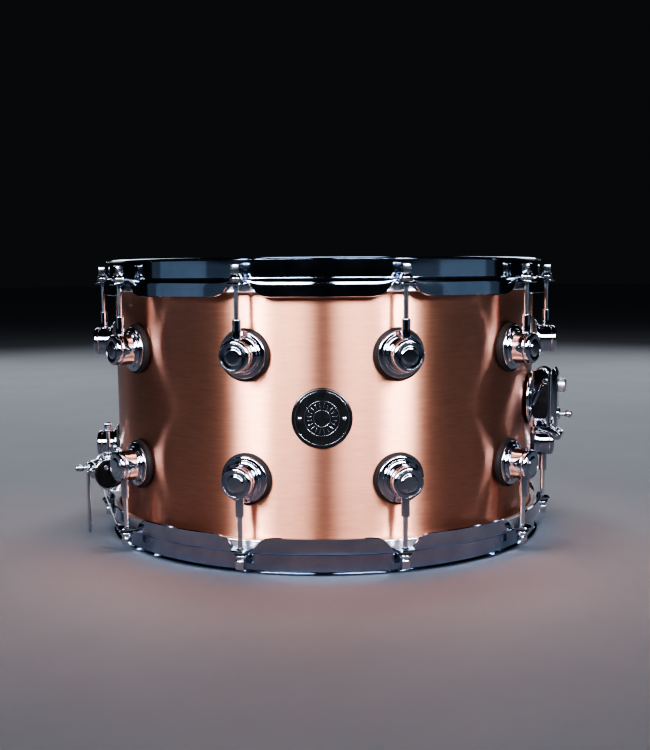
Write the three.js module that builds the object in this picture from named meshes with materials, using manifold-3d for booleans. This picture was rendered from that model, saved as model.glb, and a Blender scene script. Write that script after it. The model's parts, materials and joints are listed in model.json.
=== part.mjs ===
// A 14 x 8 inch snare drum with a copper shell, flanged steel hoops and single-ended turret lugs.
// Millimetres, +Z up. The drum stands on the rim of its bottom hoop at z = 0, on the axis x = y = 0.
// Azimuths are in degrees round the drum: 0 is the badge (-Y), 90 is +X.

import * as THREE from 'three';
import { mergeVertices } from 'three/addons/utils/BufferGeometryUtils.js';
import Module from 'manifold-3d';

const wasm = await Module();
wasm.setup();

// ---------------------------------------------------------------- driving dimensions

const SHELL_RADIUS = 177.8;        // 14 inch shell
const SHELL_DEPTH = 203.2;         // 8 inch shell
const SHELL_WALL = 1.5;
const RIM_RISE = 12.4;             // rim of each hoop above its bearing edge
const EAR_DROP = 6.2;              // top of a hoop's ears below the bearing edge
const ROD_RADIUS = 192;            // circle that the tension rods stand on
const LUG_ROW_OFFSET = 45.1;       // each row of lugs from the drum's middle
const ROUND_STEPS = 60;            // facets round the large rings
const GAP = 0.3;                   // clearance between touching pieces

const RODS_PER_SIDE = 10;
const ROD_PITCH = 360 / RODS_PER_SIDE;
const STRAINER_AZIMUTH = -2 * ROD_PITCH;
const BUTT_AZIMUTH = STRAINER_AZIMUTH + 180;
const DAMPER_AZIMUTH = 2 * ROD_PITCH;

const DRUM_HEIGHT = SHELL_DEPTH + 2 * RIM_RISE;
const MID_HEIGHT = DRUM_HEIGHT / 2;
const TOP_EDGE = DRUM_HEIGHT - RIM_RISE;

// Heads: films stretched over the bearing edges, each glued into an aluminium flesh hoop.
const FILM = 0.5;
const FILM_COLLAR = 12;
const FLESH_INNER = SHELL_RADIUS + 1.4;
const FLESH_OUTER = SHELL_RADIUS + 6.6;
const FLESH_TOP = -4.6;
const FLESH_BOTTOM = -12.6;

// Hoops: bent from 2 mm steel, with an outward rim, a collar, a skirt and ten ears.
const HOOP_SHEET = 2;
const COLLAR_INNER = SHELL_RADIUS + 2.9;
const SKIRT_INNER = SHELL_RADIUS + 7.2;
const SKIRT_BOTTOM = -16;
const RIM_OUTER = COLLAR_INNER + 3.9;
const EAR_TIP = 198.6;
const EAR_HALF_WIDTH = 7;
const EAR_HOLE_RADIUS = 3.2;
const GATE_HALF_WIDTH = 15;        // cut in the bottom hoop for each snare strap

// Tension rods and the turret lugs that receive them.
const ROD_SHANK = 2;
const ROD_FLANGE = 4.6;
const ROD_FLANGE_TOP = 4.2;
const KEY_SQUARE = 6.3;
const ROD_HEAD_TOP = 14;
const ROD_END = 6;                 // rod's lower end above the lug's axis

// ---------------------------------------------------------------- materials

function finish(color, roughness, metalness) {
  return new THREE.MeshStandardMaterial({ color, roughness, metalness });
}

const COPPER = finish(0xc98263, 0.32, 1);
const CHROME = finish(0xc9ccd2, 0.08, 1);
const ALUMINIUM = finish(0xb9bcc2, 0.35, 1);
const STEEL = finish(0xa9adb4, 0.25, 1);
const COATED_FILM = finish(0xe9e8e2, 0.7, 0);
const CLEAR_FILM = finish(0xd7d9da, 0.3, 0);
const BLACK_ENAMEL = finish(0x111114, 0.35, 0.2);
const FELT = finish(0xd8d2c4, 0.95, 0);

// ---------------------------------------------------------------- helpers

/** Signed volume of an indexed triangle mesh: negative if its faces point inwards. */
function signedVolume(vertices, triangles) {
  const [a, b, c] = [new THREE.Vector3(), new THREE.Vector3(), new THREE.Vector3()];
  let sum = 0;
  for (let i = 0; i < triangles.length; i += 3) {
    a.fromArray(vertices, 3 * triangles[i]);
    b.fromArray(vertices, 3 * triangles[i + 1]);
    c.fromArray(vertices, 3 * triangles[i + 2]);
    sum += a.dot(b.cross(c)) / 6;
  }
  return sum;
}

/** A closed three.js geometry as a solid, with its faces pointing out. */
function solid(geometry) {
  const bare = geometry.clone();
  bare.deleteAttribute('normal');
  bare.deleteAttribute('uv');
  const merged = mergeVertices(bare, 1e-4);
  const index = merged.index.array;
  const triangles = [];
  for (let i = 0; i < index.length; i += 3) {
    const [a, b, c] = index.slice(i, i + 3);
    if (a !== b && b !== c && c !== a) triangles.push(a, b, c);
  }
  const vertProperties = new Float32Array(merged.attributes.position.array);
  if (signedVolume(vertProperties, triangles) < 0) triangles.reverse();
  const mesh = new wasm.Mesh({ numProp: 3, vertProperties, triVerts: Uint32Array.from(triangles) });
  return new wasm.Manifold(mesh);
}

/** Ring or round body: outline points are [radius, height], turned about Z. */
function turned(outline, steps = ROUND_STEPS) {
  const points = outline.map(([radius, height]) => new THREE.Vector2(radius, height));
  return new THREE.LatheGeometry(points, steps).rotateX(Math.PI / 2);
}

/** The same outline closed on itself, for a ring with a hole. */
function ring(outline, steps = ROUND_STEPS) {
  return turned([...outline, outline[0]], steps);
}

/** Round body about an axis that points outwards (+X): outline points are [radius, distance out]. */
function turnedOutwards(outline, steps) {
  return turned(outline, steps).rotateY(Math.PI / 2);
}

/** Round body about a tangential axis (Y), from y = low to y = high. */
function crossPin(radius, low, high, steps = 12) {
  const pin = new THREE.CylinderGeometry(radius, radius, high - low, steps);
  return pin.translate(0, (low + high) / 2, 0);
}

/** Cylinder along Z. */
function post(radius, low, high, steps = 12) {
  const cylinder = new THREE.CylinderGeometry(radius, radius, high - low, steps).rotateX(Math.PI / 2);
  return cylinder.translate(0, 0, (low + high) / 2);
}

/** Cylinder along X. */
function spoke(radius, low, high, steps = 12) {
  return post(radius, low, high, steps).rotateY(Math.PI / 2);
}

/** Box between two corners. */
function block([x0, y0, z0], [x1, y1, z1]) {
  const box = new THREE.BoxGeometry(x1 - x0, y1 - y0, z1 - z0);
  return box.translate((x0 + x1) / 2, (y0 + y1) / 2, (z0 + z1) / 2);
}

/** Side plate: a shape drawn in (outwards, up), from y = low to y = high. */
function sidePlate(shape, low, high, curveSegments = 6) {
  const options = { depth: high - low, bevelEnabled: false, curveSegments };
  return new THREE.ExtrudeGeometry(shape, options).rotateX(Math.PI / 2).translate(0, high, 0);
}

/** Shape with straight sides through the given points. */
function outlineOf(points) {
  return new THREE.Shape(points.map(([x, y]) => new THREE.Vector2(x, y)));
}

function joined(...geometries) {
  return geometries.map(solid).reduce((sum, piece) => sum.add(piece));
}

function cut(body, ...geometries) {
  return geometries.map(solid).reduce((rest, piece) => rest.subtract(piece), body);
}

function geometryOf(body) {
  const { vertProperties, triVerts } = body.getMesh();
  const geometry = new THREE.BufferGeometry();
  geometry.setAttribute('position', new THREE.BufferAttribute(Float32Array.from(vertProperties), 3));
  geometry.setIndex(new THREE.BufferAttribute(Uint32Array.from(triVerts), 1));
  geometry.computeVertexNormals();
  return geometry;
}

function piece(name, geometry, material) {
  const mesh = new THREE.Mesh(geometry, material);
  mesh.name = name;
  return mesh;
}

/** Group whose +X points outwards at an azimuth. */
function facing(azimuth, ...children) {
  const group = new THREE.Group();
  group.rotation.z = THREE.MathUtils.degToRad(azimuth - 90);
  group.add(...children);
  return group;
}

/** Group for one end of the drum: z = 0 at the bearing edge, +Z away from the drum's middle. */
function drumEnd(top, ...children) {
  const group = new THREE.Group();
  group.position.z = top ? TOP_EDGE : RIM_RISE;
  group.rotation.x = top ? 0 : Math.PI;
  group.add(...children);
  return group;
}

/** An azimuth of the drum as seen from an end group: the bottom one is turned over about X. */
function endAzimuth(azimuth, top) {
  return top ? azimuth : 180 - azimuth;
}

/** Azimuths of the rods, in order round the drum, starting right of the badge. */
const ROD_AZIMUTHS = Array.from({ length: RODS_PER_SIDE }, (_, i) => ROD_PITCH * (i + 0.5));

// ---------------------------------------------------------------- shell, heads and badge

const DAMPER_HOLE_RADIUS = 4.6;

/** Bearing edges: how far a 45 degree cut comes down, and where the crest stands in the wall. */
const EDGE_CUT = 1.2;
const CREST_SHARE = 0.6;
const HOLE_STEPS = 10;

function shell() {
  const chamfer = EDGE_CUT;
  const crest = SHELL_RADIUS - CREST_SHARE * SHELL_WALL;
  const inner = SHELL_RADIUS - SHELL_WALL;
  const wall = ring([
    [SHELL_RADIUS, chamfer], [SHELL_RADIUS, SHELL_DEPTH - chamfer], [crest, SHELL_DEPTH],
    [inner, SHELL_DEPTH - chamfer], [inner, chamfer], [crest, 0],
  ]).translate(0, 0, RIM_RISE);
  const reach = 2 * DAMPER_HOLE_RADIUS;
  const hole = spoke(DAMPER_HOLE_RADIUS, SHELL_RADIUS - reach, SHELL_RADIUS + reach, HOLE_STEPS)
    .translate(0, 0, MID_HEIGHT)
    .rotateZ(THREE.MathUtils.degToRad(DAMPER_AZIMUTH - 90));
  return piece('shell', geometryOf(cut(solid(wall), hole)), COPPER);
}

/** Film with its collar: a shallow pan, turned over the bearing edge. */
function headFilm(name, material) {
  const inner = SHELL_RADIUS + FILM;
  const outer = inner + FILM;
  const film = turned([
    [0, GAP], [inner, GAP], [inner, -FILM_COLLAR],
    [outer, -FILM_COLLAR], [outer, GAP + FILM], [0, GAP + FILM],
  ]);
  return piece(name, geometryOf(solid(film)), material);
}

function fleshHoop(name) {
  const band = ring([
    [FLESH_INNER, FLESH_BOTTOM], [FLESH_OUTER, FLESH_BOTTOM],
    [FLESH_OUTER, FLESH_TOP], [FLESH_INNER, FLESH_TOP],
  ]);
  return piece(name, geometryOf(solid(band)), ALUMINIUM);
}

const BADGE = { radius: 22, back: 0.5, front: 2.3, bevelIn: 1, bevelDown: 0.6, steps: 24 };

function badge() {
  const { radius, back, front, bevelIn, bevelDown, steps } = BADGE;
  const disc = turnedOutwards([
    [0, back], [radius, back], [radius, front - bevelDown], [radius - bevelIn, front], [0, front],
  ], steps);
  const placed = geometryOf(solid(disc)).translate(SHELL_RADIUS, 0, MID_HEIGHT);
  return facing(0, piece('badge', placed, BLACK_ENAMEL));
}

// ---------------------------------------------------------------- hoops

const EAR_CORNER = 4;
// Scallop under each ear: half widths of the cut, from the skirt's lower edge up.
const SCALLOP = { lowHalf: 23, middleHalf: 15, topHalf: 9 };
const HOOP_BEND = 1.2;
const RIM_THICK = 2.2;
const GATE_SILL = 3.4;             // metal left between the rim and a snare gate
const GATE_DEPTH = 18.2;           // a gate's far edge beyond the bearing edge

/** Flat ear with a cornered tip, drawn in (outwards, along the rim). */
function ear() {
  const root = SKIRT_INNER + 0.5 * HOOP_SHEET;
  const side = EAR_HALF_WIDTH - EAR_CORNER;
  const shape = outlineOf([
    [root, -EAR_HALF_WIDTH], [EAR_TIP - EAR_CORNER, -EAR_HALF_WIDTH], [EAR_TIP, -side],
    [EAR_TIP, side], [EAR_TIP - EAR_CORNER, EAR_HALF_WIDTH], [root, EAR_HALF_WIDTH],
  ]);
  const plate = new THREE.ExtrudeGeometry(shape, { depth: HOOP_SHEET, bevelEnabled: false });
  return plate.translate(0, 0, -EAR_DROP - HOOP_SHEET);
}

/** Cutter for the skirt's scallop under an ear: wide at the skirt's lower edge, narrow at the ear. */
function scallop() {
  const { lowHalf, middleHalf, topHalf } = SCALLOP;
  const top = -EAR_DROP - HOOP_SHEET;
  const low = SKIRT_BOTTOM - 1;
  const middle = (top + low) / 2;
  const shape = outlineOf([
    [-lowHalf, low], [lowHalf, low], [middleHalf, middle],
    [topHalf, top], [-topHalf, top], [-middleHalf, middle],
  ]);
  const cutter = new THREE.ExtrudeGeometry(shape, { depth: 4 * HOOP_SHEET, bevelEnabled: false });
  return cutter.rotateX(Math.PI / 2).rotateZ(Math.PI / 2).translate(SKIRT_INNER - HOOP_SHEET, 0, 0);
}

function earHole() {
  const hole = post(EAR_HOLE_RADIUS, -EAR_DROP - 2 * HOOP_SHEET, -EAR_DROP + HOOP_SHEET, 10);
  return hole.translate(ROD_RADIUS, 0, 0);
}

/** Opening through skirt, flange and collar for a snare strap. */
function snareGate() {
  const low = [COLLAR_INNER - HOOP_SHEET, -GATE_HALF_WIDTH, -GATE_DEPTH];
  return block(low, [EAR_TIP, GATE_HALF_WIDTH, RIM_RISE - GATE_SILL]);
}

function turnedTo(azimuth, geometry) {
  return geometry.rotateZ(THREE.MathUtils.degToRad(azimuth - 90));
}

function hoop(name, gateAzimuths) {
  const seat = FLESH_TOP + 0.4;
  const flange = seat + HOOP_SHEET;
  const skirtOuter = SKIRT_INNER + HOOP_SHEET;
  const collarOuter = COLLAR_INNER + HOOP_SHEET;
  const rimLow = RIM_RISE - RIM_THICK;
  let body = solid(ring([
    [COLLAR_INNER, seat], [SKIRT_INNER, seat], [SKIRT_INNER, SKIRT_BOTTOM], [skirtOuter, SKIRT_BOTTOM],
    [skirtOuter, flange - HOOP_BEND], [skirtOuter - HOOP_BEND, flange], [collarOuter, flange],
    [collarOuter, rimLow], [RIM_OUTER, rimLow], [RIM_OUTER, RIM_RISE], [COLLAR_INNER, RIM_RISE],
  ]));
  for (const azimuth of ROD_AZIMUTHS) {
    body = cut(body, turnedTo(azimuth, scallop()));
    body = body.add(solid(turnedTo(azimuth, ear())));
    body = cut(body, turnedTo(azimuth, earHole()));
  }
  for (const azimuth of gateAzimuths) body = cut(body, turnedTo(azimuth, snareGate()));
  return piece(name, geometryOf(body), CHROME);
}

// ---------------------------------------------------------------- lugs and tension rods

// Distances out are from the shell's surface, heights from the lug's own axis.
const LUG = {
  back: 0.5, baseRadius: 17.6, baseOut: 5.4, stepRadius: 16.2, stepOut: 6.6, neckRadius: 12,
  capIn: 17.4, capRadius: 11.4, capOut: 22.2, capEdge: 0.9,
  tubeRadius: 3.2, tubeFoot: 8, tubeEnd: 25.5, bore: 2.35, boreFloor: 3,
};

/** Turret lug with its threaded receiver tube pointing up, on the shell's surface at x = SHELL_RADIUS. */
function lugGeometry() {
  const { back, baseRadius, baseOut, stepRadius, stepOut, neckRadius } = LUG;
  const { capIn, capRadius, capOut, capEdge } = LUG;
  const turret = turnedOutwards([
    [0, back], [baseRadius, back], [baseRadius, baseOut], [stepRadius, stepOut], [neckRadius, stepOut],
    [neckRadius, capIn], [capRadius, capIn + capEdge], [capRadius, capOut - capEdge],
    [capRadius - capEdge, capOut], [0, capOut],
  ], 12);
  const reach = ROD_RADIUS - SHELL_RADIUS;
  const tube = post(LUG.tubeRadius, LUG.tubeFoot, LUG.tubeEnd, 8).translate(reach, 0, 0);
  const bore = post(LUG.bore, LUG.boreFloor, LUG.tubeEnd + 1, 8).translate(reach, 0, 0);
  return geometryOf(cut(joined(turret, tube), bore)).translate(SHELL_RADIUS, 0, 0);
}

/** Key rod, from its threaded end up to the square head, with z = 0 on top of the hoop's ear. */
function rodGeometry() {
  const end = -(MID_HEIGHT - RIM_RISE - EAR_DROP - LUG_ROW_OFFSET - ROD_END);
  const shank = turned([
    [0, end], [ROD_SHANK, end], [ROD_SHANK, GAP],
    [ROD_FLANGE, GAP], [ROD_FLANGE, ROD_FLANGE_TOP], [0, ROD_FLANGE_TOP],
  ], 8);
  const half = KEY_SQUARE / 2;
  const head = block([-half, -half, ROD_FLANGE_TOP - 1], [half, half, ROD_HEAD_TOP]);
  return geometryOf(joined(shank, head));
}

/** Ten lugs and ten rods of one end; the bottom ones hang upside down. */
function tensionSet(top) {
  const side = top ? 'top' : 'bottom';
  const flip = top ? 0 : Math.PI;
  const lugShape = lugGeometry();
  const rodShape = rodGeometry();
  const lugHeight = MID_HEIGHT + (top ? LUG_ROW_OFFSET : -LUG_ROW_OFFSET);
  const earHeight = top ? TOP_EDGE - EAR_DROP : RIM_RISE + EAR_DROP;
  return ROD_AZIMUTHS.map((azimuth, i) => {
    const number = String(i + 1).padStart(2, '0');
    const lug = piece(`lug_${side}_${number}`, lugShape, CHROME);
    lug.position.z = lugHeight;
    lug.rotation.x = flip;
    const rod = piece(`tension_rod_${side}_${number}`, rodShape, STEEL);
    rod.position.set(ROD_RADIUS, 0, earHeight);
    rod.rotation.x = flip;
    return facing(azimuth, lug, rod);
  });
}

// ---------------------------------------------------------------- strainer (throw-off)

// The fittings are drawn in their own frames: x outwards from the shell's surface, y along it, z up.
const FITTING_BACK = 0.8;          // a fitting's back face off the shell
const BASE_OUT = 4;                // front of a base plate
const PIN_CLEARANCE = 0.4;

const STRAINER = {
  bottom: 39, top: 72, baseTop: 75,
  cheekInner: 14.5, cheek: 3, cheekBelly: 11, cheekShoulder: 10, nose: 4.8,
  bridge: 3.4, bridgeOut: 16,
  pivotOut: 24, pivotHeight: 57, pivotPin: 2,
  capOut: 12.2, capHeight: 55.6, capRadius: 11.6, capThick: 3.4,
};
const SLIDER = {
  inner: 4.6, outer: 18.6, low: 45, high: 64,
  strapOut: 16.4, slotHalf: 0.7, slotTop: 62, slotSide: 13,
};
const KEY_SCREW = {
  out: 10.6, radius: 1.5, low: 48, flangeLow: 88, flangeHigh: 89.6, flange: 4.2, top: 95.2,
};
const THROW_LEVER = {
  barrel: 4.4, bladeIn: 27.2, bladeOut: 29.2, bladeHalf: 8, bladeLow: 4,
  neckLow: -4.2, neckHigh: 3.4,
  studRadius: 2.2, studKnob: 3, studNeckEnd: 31.5, studEnd: 38.2, studRise: 1.5,
};

/** Outline of a side cheek: flat against the base, with a rounded belly and a nose for the lever's pin. */
function cheekShape() {
  const { bottom, top, pivotOut, pivotHeight, cheekBelly, cheekShoulder, nose } = STRAINER;
  const back = BASE_OUT - 1;
  const shape = new THREE.Shape();
  shape.moveTo(back, bottom + 1);
  shape.lineTo(cheekBelly, bottom + 1);
  shape.absarc(cheekBelly, bottom + 1 + cheekBelly, cheekBelly, -Math.PI / 2, -0.25, false);
  shape.lineTo(pivotOut, pivotHeight - nose);
  shape.absarc(pivotOut, pivotHeight, nose, -Math.PI / 2, Math.PI / 2, false);
  shape.lineTo(pivotOut - 4, pivotHeight + nose + 1.5);
  shape.absarc(cheekShoulder, top - cheekShoulder, cheekShoulder, 0.2, Math.PI / 2, false);
  shape.lineTo(back, top);
  const hole = new THREE.Path();
  hole.absarc(pivotOut, pivotHeight, STRAINER.pivotPin + PIN_CLEARANCE, 0, 2 * Math.PI, true);
  shape.holes.push(hole);
  return shape;
}

function strainerHousing() {
  const { cheekInner, cheek, bottom, top, baseTop, bridge, bridgeOut } = STRAINER;
  const outer = cheekInner + cheek;
  const base = block([FITTING_BACK, -outer, bottom], [BASE_OUT, outer, baseTop]);
  const left = sidePlate(cheekShape(), cheekInner, outer);
  const right = sidePlate(cheekShape(), -outer, -cheekInner);
  const crossPiece = block([BASE_OUT - 1, -cheekInner - 1, top - bridge], [bridgeOut, cheekInner + 1, top]);
  const screwHole = post(KEY_SCREW.radius + 0.6, top - 2 * bridge, baseTop, 10)
    .translate(KEY_SCREW.out, 0, 0);
  const body = cut(joined(base, left, right, crossPiece), screwHole);
  return piece('strainer_housing', geometryOf(body).translate(SHELL_RADIUS, 0, 0), CHROME);
}

/** Round black cover on the cheek that faces the badge. */
function strainerSideCap() {
  const { cheekInner, cheek, capOut, capHeight, capRadius, capThick } = STRAINER;
  const face = cheekInner + cheek + GAP;
  const cover = crossPin(capRadius, face, face + capThick, 20).translate(capOut, 0, capHeight);
  return piece('strainer_side_cap', geometryOf(solid(cover)).translate(SHELL_RADIUS, 0, 0), BLACK_ENAMEL);
}

/** Carriage that slides between the cheeks. The strap is clamped in its slot. */
function strainerSlider() {
  const { inner, outer, low, high, strapOut, slotHalf, slotTop, slotSide } = SLIDER;
  const half = STRAINER.cheekInner - 0.5;
  const carriage = block([inner, -half, low], [outer, half, high]);
  const slot = block([strapOut - slotHalf, -slotSide, low - 1], [strapOut + slotHalf, slotSide, slotTop]);
  const screwHole = post(KEY_SCREW.radius + PIN_CLEARANCE, low + 1, high + 1, 10)
    .translate(KEY_SCREW.out, 0, 0);
  const body = cut(solid(carriage), slot, screwHole);
  return piece('strainer_slider', geometryOf(body).translate(SHELL_RADIUS, 0, 0), STEEL);
}

/** Key-operated screw that sets the snares' tension. */
function strainerScrew() {
  const { out, radius, low, flangeLow, flangeHigh, flange, top } = KEY_SCREW;
  const half = KEY_SQUARE / 2;
  const shank = turned([
    [0, low], [radius, low], [radius, flangeLow],
    [flange, flangeLow], [flange, flangeHigh], [0, flangeHigh],
  ], 10);
  const screw = joined(shank, block([-half, -half, flangeHigh - 0.6], [half, half, top]));
  return piece('strainer_key_screw', geometryOf(screw).translate(SHELL_RADIUS + out, 0, 0), STEEL);
}

/** Lever: a barrel on the pivot pin, a thin blade hanging from it and a thumb stud pointing out. */
function strainerLever() {
  const { cheekInner, cheek, pivotOut, pivotHeight, pivotPin } = STRAINER;
  const { barrel, bladeIn, bladeOut, bladeHalf, bladeLow, neckLow, neckHigh } = THROW_LEVER;
  const { studRadius, studKnob, studNeckEnd, studEnd, studRise } = THROW_LEVER;
  const half = cheekInner - 0.6;
  const pinEnd = cheekInner + cheek;
  const hub = crossPin(barrel, -half, half, 14).translate(pivotOut, 0, pivotHeight);
  const pin = crossPin(pivotPin, -pinEnd, pinEnd, 10).translate(pivotOut, 0, pivotHeight);
  const blade = block([bladeIn, -bladeHalf, bladeLow], [bladeOut, bladeHalf, pivotHeight]);
  const neckOut = bladeIn + 0.8;
  const neckFoot = [pivotOut, -bladeHalf, pivotHeight + neckLow];
  const neck = block(neckFoot, [neckOut, bladeHalf, pivotHeight + neckHigh]);
  const stud = turnedOutwards([
    [0, pivotOut], [studRadius, pivotOut], [studRadius, studNeckEnd], [studKnob, studNeckEnd],
    [studKnob, studEnd - 0.8], [studRadius, studEnd], [0, studEnd],
  ], 10).translate(0, 0, pivotHeight + studRise);
  const lever = joined(hub, pin, blade, neck, stud);
  return piece('strainer_lever', geometryOf(lever).translate(SHELL_RADIUS, 0, 0), CHROME);
}

// ---------------------------------------------------------------- butt, snare wires

const BUTT = {
  low: 43, high: 66, half: 13.5,
  strapOut: 13.6, slotHalf: 0.7, clamp: 2.7, clampLow: 45, clampHigh: 64,
};
const BUTT_BASE = { low: 38, high: 72, half: 16 };
const STRAP = { half: 12.5, halfThick: 0.25, top: 60 };
const WIRES = { height: 10.2, half: 21, end: 150, halfThick: 1.1, plateEnd: 163, plateHalfThick: 0.6 };

function buttBlock() {
  const { strapOut, slotHalf, low, high, half } = BUTT;
  const baseFoot = [FITTING_BACK, -BUTT_BASE.half, BUTT_BASE.low];
  const base = block(baseFoot, [BASE_OUT, BUTT_BASE.half, BUTT_BASE.high]);
  const body = block([BASE_OUT - 1, -half, low], [strapOut - slotHalf, half, high]);
  return piece('butt_block', geometryOf(joined(base, body)).translate(SHELL_RADIUS, 0, 0), CHROME);
}

function buttClampPlate() {
  const { strapOut, slotHalf, clamp, clampLow, clampHigh, half } = BUTT;
  const inner = strapOut + slotHalf;
  const plate = block([inner, -half, clampLow], [inner + clamp, half, clampHigh]);
  return piece('butt_clamp_plate', geometryOf(solid(plate)).translate(SHELL_RADIUS, 0, 0), CHROME);
}

/** Strap drawn in (outwards, up) as a thin bent strip through the given centre line. */
function strap(line) {
  const { half, halfThick } = STRAP;
  const upper = line.map(([x, z]) => [x - halfThick, z + halfThick]);
  const lower = line.map(([x, z]) => [x + halfThick, z - halfThick]).reverse();
  return sidePlate(outlineOf([...upper, ...lower]), -half, half);
}

/** A strap's centre line: from the wires' end plate, out through the hoop's gate and up to its clamp. */
function strapLine(strapOut) {
  const { height, plateEnd } = WIRES;
  const clamped = SHELL_RADIUS + strapOut;
  return [
    [plateEnd - 3, height], [SHELL_RADIUS, height], [SHELL_RADIUS + 7, height + 1.6],
    [SHELL_RADIUS + 8.8, height + 6.4], [clamped, BUTT.low - 2], [clamped, STRAP.top],
  ];
}

/** Straps, end plates and the flat bed of coiled wires, one piece lying under the snare-side head. */
function snareWires() {
  const { height, half, end, halfThick, plateEnd, plateHalfThick } = WIRES;
  const bed = block([-end, -half, height - halfThick], [end, half, height + halfThick]);
  const [plateLow, plateHigh] = [height - plateHalfThick, height + plateHalfThick];
  const plates = block([-plateEnd, -half, plateLow], [plateEnd, half, plateHigh]);
  const strainerStrap = strap(strapLine(SLIDER.strapOut));
  const buttStrap = strap(strapLine(BUTT.strapOut)).rotateZ(Math.PI);
  return piece('snare_wires', geometryOf(joined(bed, plates, strainerStrap, buttStrap)), STEEL);
}

// ---------------------------------------------------------------- damper (tone control)

const DAMPER = {
  plateRadius: 22.3, plateEdge: 2.4, plateOut: 3.2,
  bodyIn: 2.5, bodyOut: 17.4, bodyLow: 91, bodyHigh: 130, bodyHalf: 12, domeRadius: 7.4, domeHeight: 132,
  footIn: 5, footLow: 88, footHigh: 95, footRadius: 4.8, footInner: 8.3, footOuter: 11.3,
  pivotOut: 24.5, pivotHeight: 84, pivotPin: 1.8,
  boss: 3.9,
};
const FLIP_LEVER = {
  inner: 18.4, outer: 23.4, top: 140, half: 7.5, hub: 3.8, hubHalf: 7.7,
  handleHeight: 101.5, handleIn: 20, handleNeck: 1.8, handleNeckEnd: 29.5, handleBall: 3.2, handleEnd: 35.4,
};
const KNOB = { height: 125, radius: 6, stub: 2, depth: 6.2, edge: 1.6 };
const ARM = {
  pivotIn: -14.8, pin: 1.8, hub: 3.4, hubHalf: 5.5,
  yokeIn: -9, yokeOut: -6.5, earInner: 6, earOuter: 9, halfHeight: 4,
  stripHalf: 5.4, padRadius: 16, padIn: -43.8, padDrop: 3.4, padThick: 7.4,
};

/** Side view of the outer body: flat back and domed top. */
function damperBodyShape() {
  const { bodyIn, bodyOut, bodyLow, bodyHigh, domeRadius, domeHeight } = DAMPER;
  const shape = new THREE.Shape();
  shape.moveTo(bodyIn, bodyLow);
  shape.lineTo(bodyOut, bodyLow);
  shape.lineTo(bodyOut, bodyHigh);
  shape.absarc(bodyOut - domeRadius, domeHeight, domeRadius, 0, Math.PI, false);
  shape.lineTo(bodyIn, bodyHigh - 2);
  return shape;
}

/** Foot under the body that carries the lever's pin. */
function damperFootShape() {
  const { pivotOut, pivotHeight, pivotPin, footIn, footLow, footHigh, footRadius, bodyOut } = DAMPER;
  const shape = new THREE.Shape();
  shape.moveTo(footIn, footLow);
  shape.lineTo(pivotOut - 4, pivotHeight - 4);
  shape.absarc(pivotOut, pivotHeight, footRadius, -2.4, 0.5, false);
  shape.lineTo(bodyOut, footHigh);
  shape.lineTo(footIn, footHigh);
  const hole = new THREE.Path();
  hole.absarc(pivotOut, pivotHeight, pivotPin + PIN_CLEARANCE, 0, 2 * Math.PI, true);
  shape.holes.push(hole);
  return shape;
}

/** Yoke inside the shell that the felt arm's pin turns in, on the boss that comes through the shell. */
function damperYoke() {
  const { pivotIn, yokeIn, yokeOut, earInner, earOuter, halfHeight } = ARM;
  const plate = block([yokeIn, -earOuter, -halfHeight - 1], [yokeOut, earOuter, halfHeight + 1]);
  const ears = [[earInner, earOuter], [-earOuter, -earInner]].map(([low, high]) =>
    block([pivotIn - halfHeight, low, -halfHeight], [yokeOut - 0.1, high, halfHeight]));
  const boss = spoke(DAMPER.boss, yokeIn, 1, 10);
  return [plate, ...ears, boss].map((geometry) => geometry.translate(0, 0, MID_HEIGHT));
}

function damperHousing() {
  const { plateRadius, plateEdge, plateOut, bodyHalf, footInner, footOuter } = DAMPER;
  const disc = turnedOutwards([
    [0, FITTING_BACK], [plateRadius, FITTING_BACK], [plateRadius, plateEdge],
    [plateRadius - 1, plateOut], [0, plateOut],
  ], 28).translate(0, 0, MID_HEIGHT);
  const body = sidePlate(damperBodyShape(), -bodyHalf, bodyHalf);
  const feet = [[footInner, footOuter], [-footOuter, -footInner]]
    .map(([low, high]) => sidePlate(damperFootShape(), low, high));
  const pinHole = crossPin(ARM.pin + PIN_CLEARANCE, -12, 12, 10).translate(ARM.pivotIn, 0, MID_HEIGHT);
  const housing = cut(joined(disc, body, ...feet, ...damperYoke()), pinHole);
  return piece('damper_housing', geometryOf(housing).translate(SHELL_RADIUS, 0, 0), CHROME);
}

/** Flip lever: an upright plate on the foot's pin, with a ball-ended handle. */
function damperLever() {
  const { pivotOut, pivotHeight, pivotPin, footOuter } = DAMPER;
  const { inner, outer, top, half, hub, hubHalf } = FLIP_LEVER;
  const { handleHeight, handleIn, handleNeck, handleNeckEnd, handleBall, handleEnd } = FLIP_LEVER;
  const barrel = crossPin(hub, -hubHalf, hubHalf, 12).translate(pivotOut, 0, pivotHeight);
  const pin = crossPin(pivotPin, -footOuter, footOuter, 10).translate(pivotOut, 0, pivotHeight);
  const plate = block([inner, -half, pivotHeight + 1], [outer, half, top]);
  const handle = turnedOutwards([
    [0, handleIn], [handleNeck, handleIn], [handleNeck, handleNeckEnd],
    [handleBall - 0.3, handleNeckEnd + 1.5], [handleBall, handleNeckEnd + 3.1],
    [handleBall - 0.6, handleEnd - 1], [0, handleEnd],
  ], 10).translate(0, 0, handleHeight);
  const knobBore = spoke(KNOB.stub + PIN_CLEARANCE, inner - 1, outer + 1, 10).translate(0, 0, KNOB.height);
  const lever = cut(joined(barrel, pin, plate, handle), knobBore);
  return piece('damper_lever', geometryOf(lever).translate(SHELL_RADIUS, 0, 0), CHROME);
}

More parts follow.
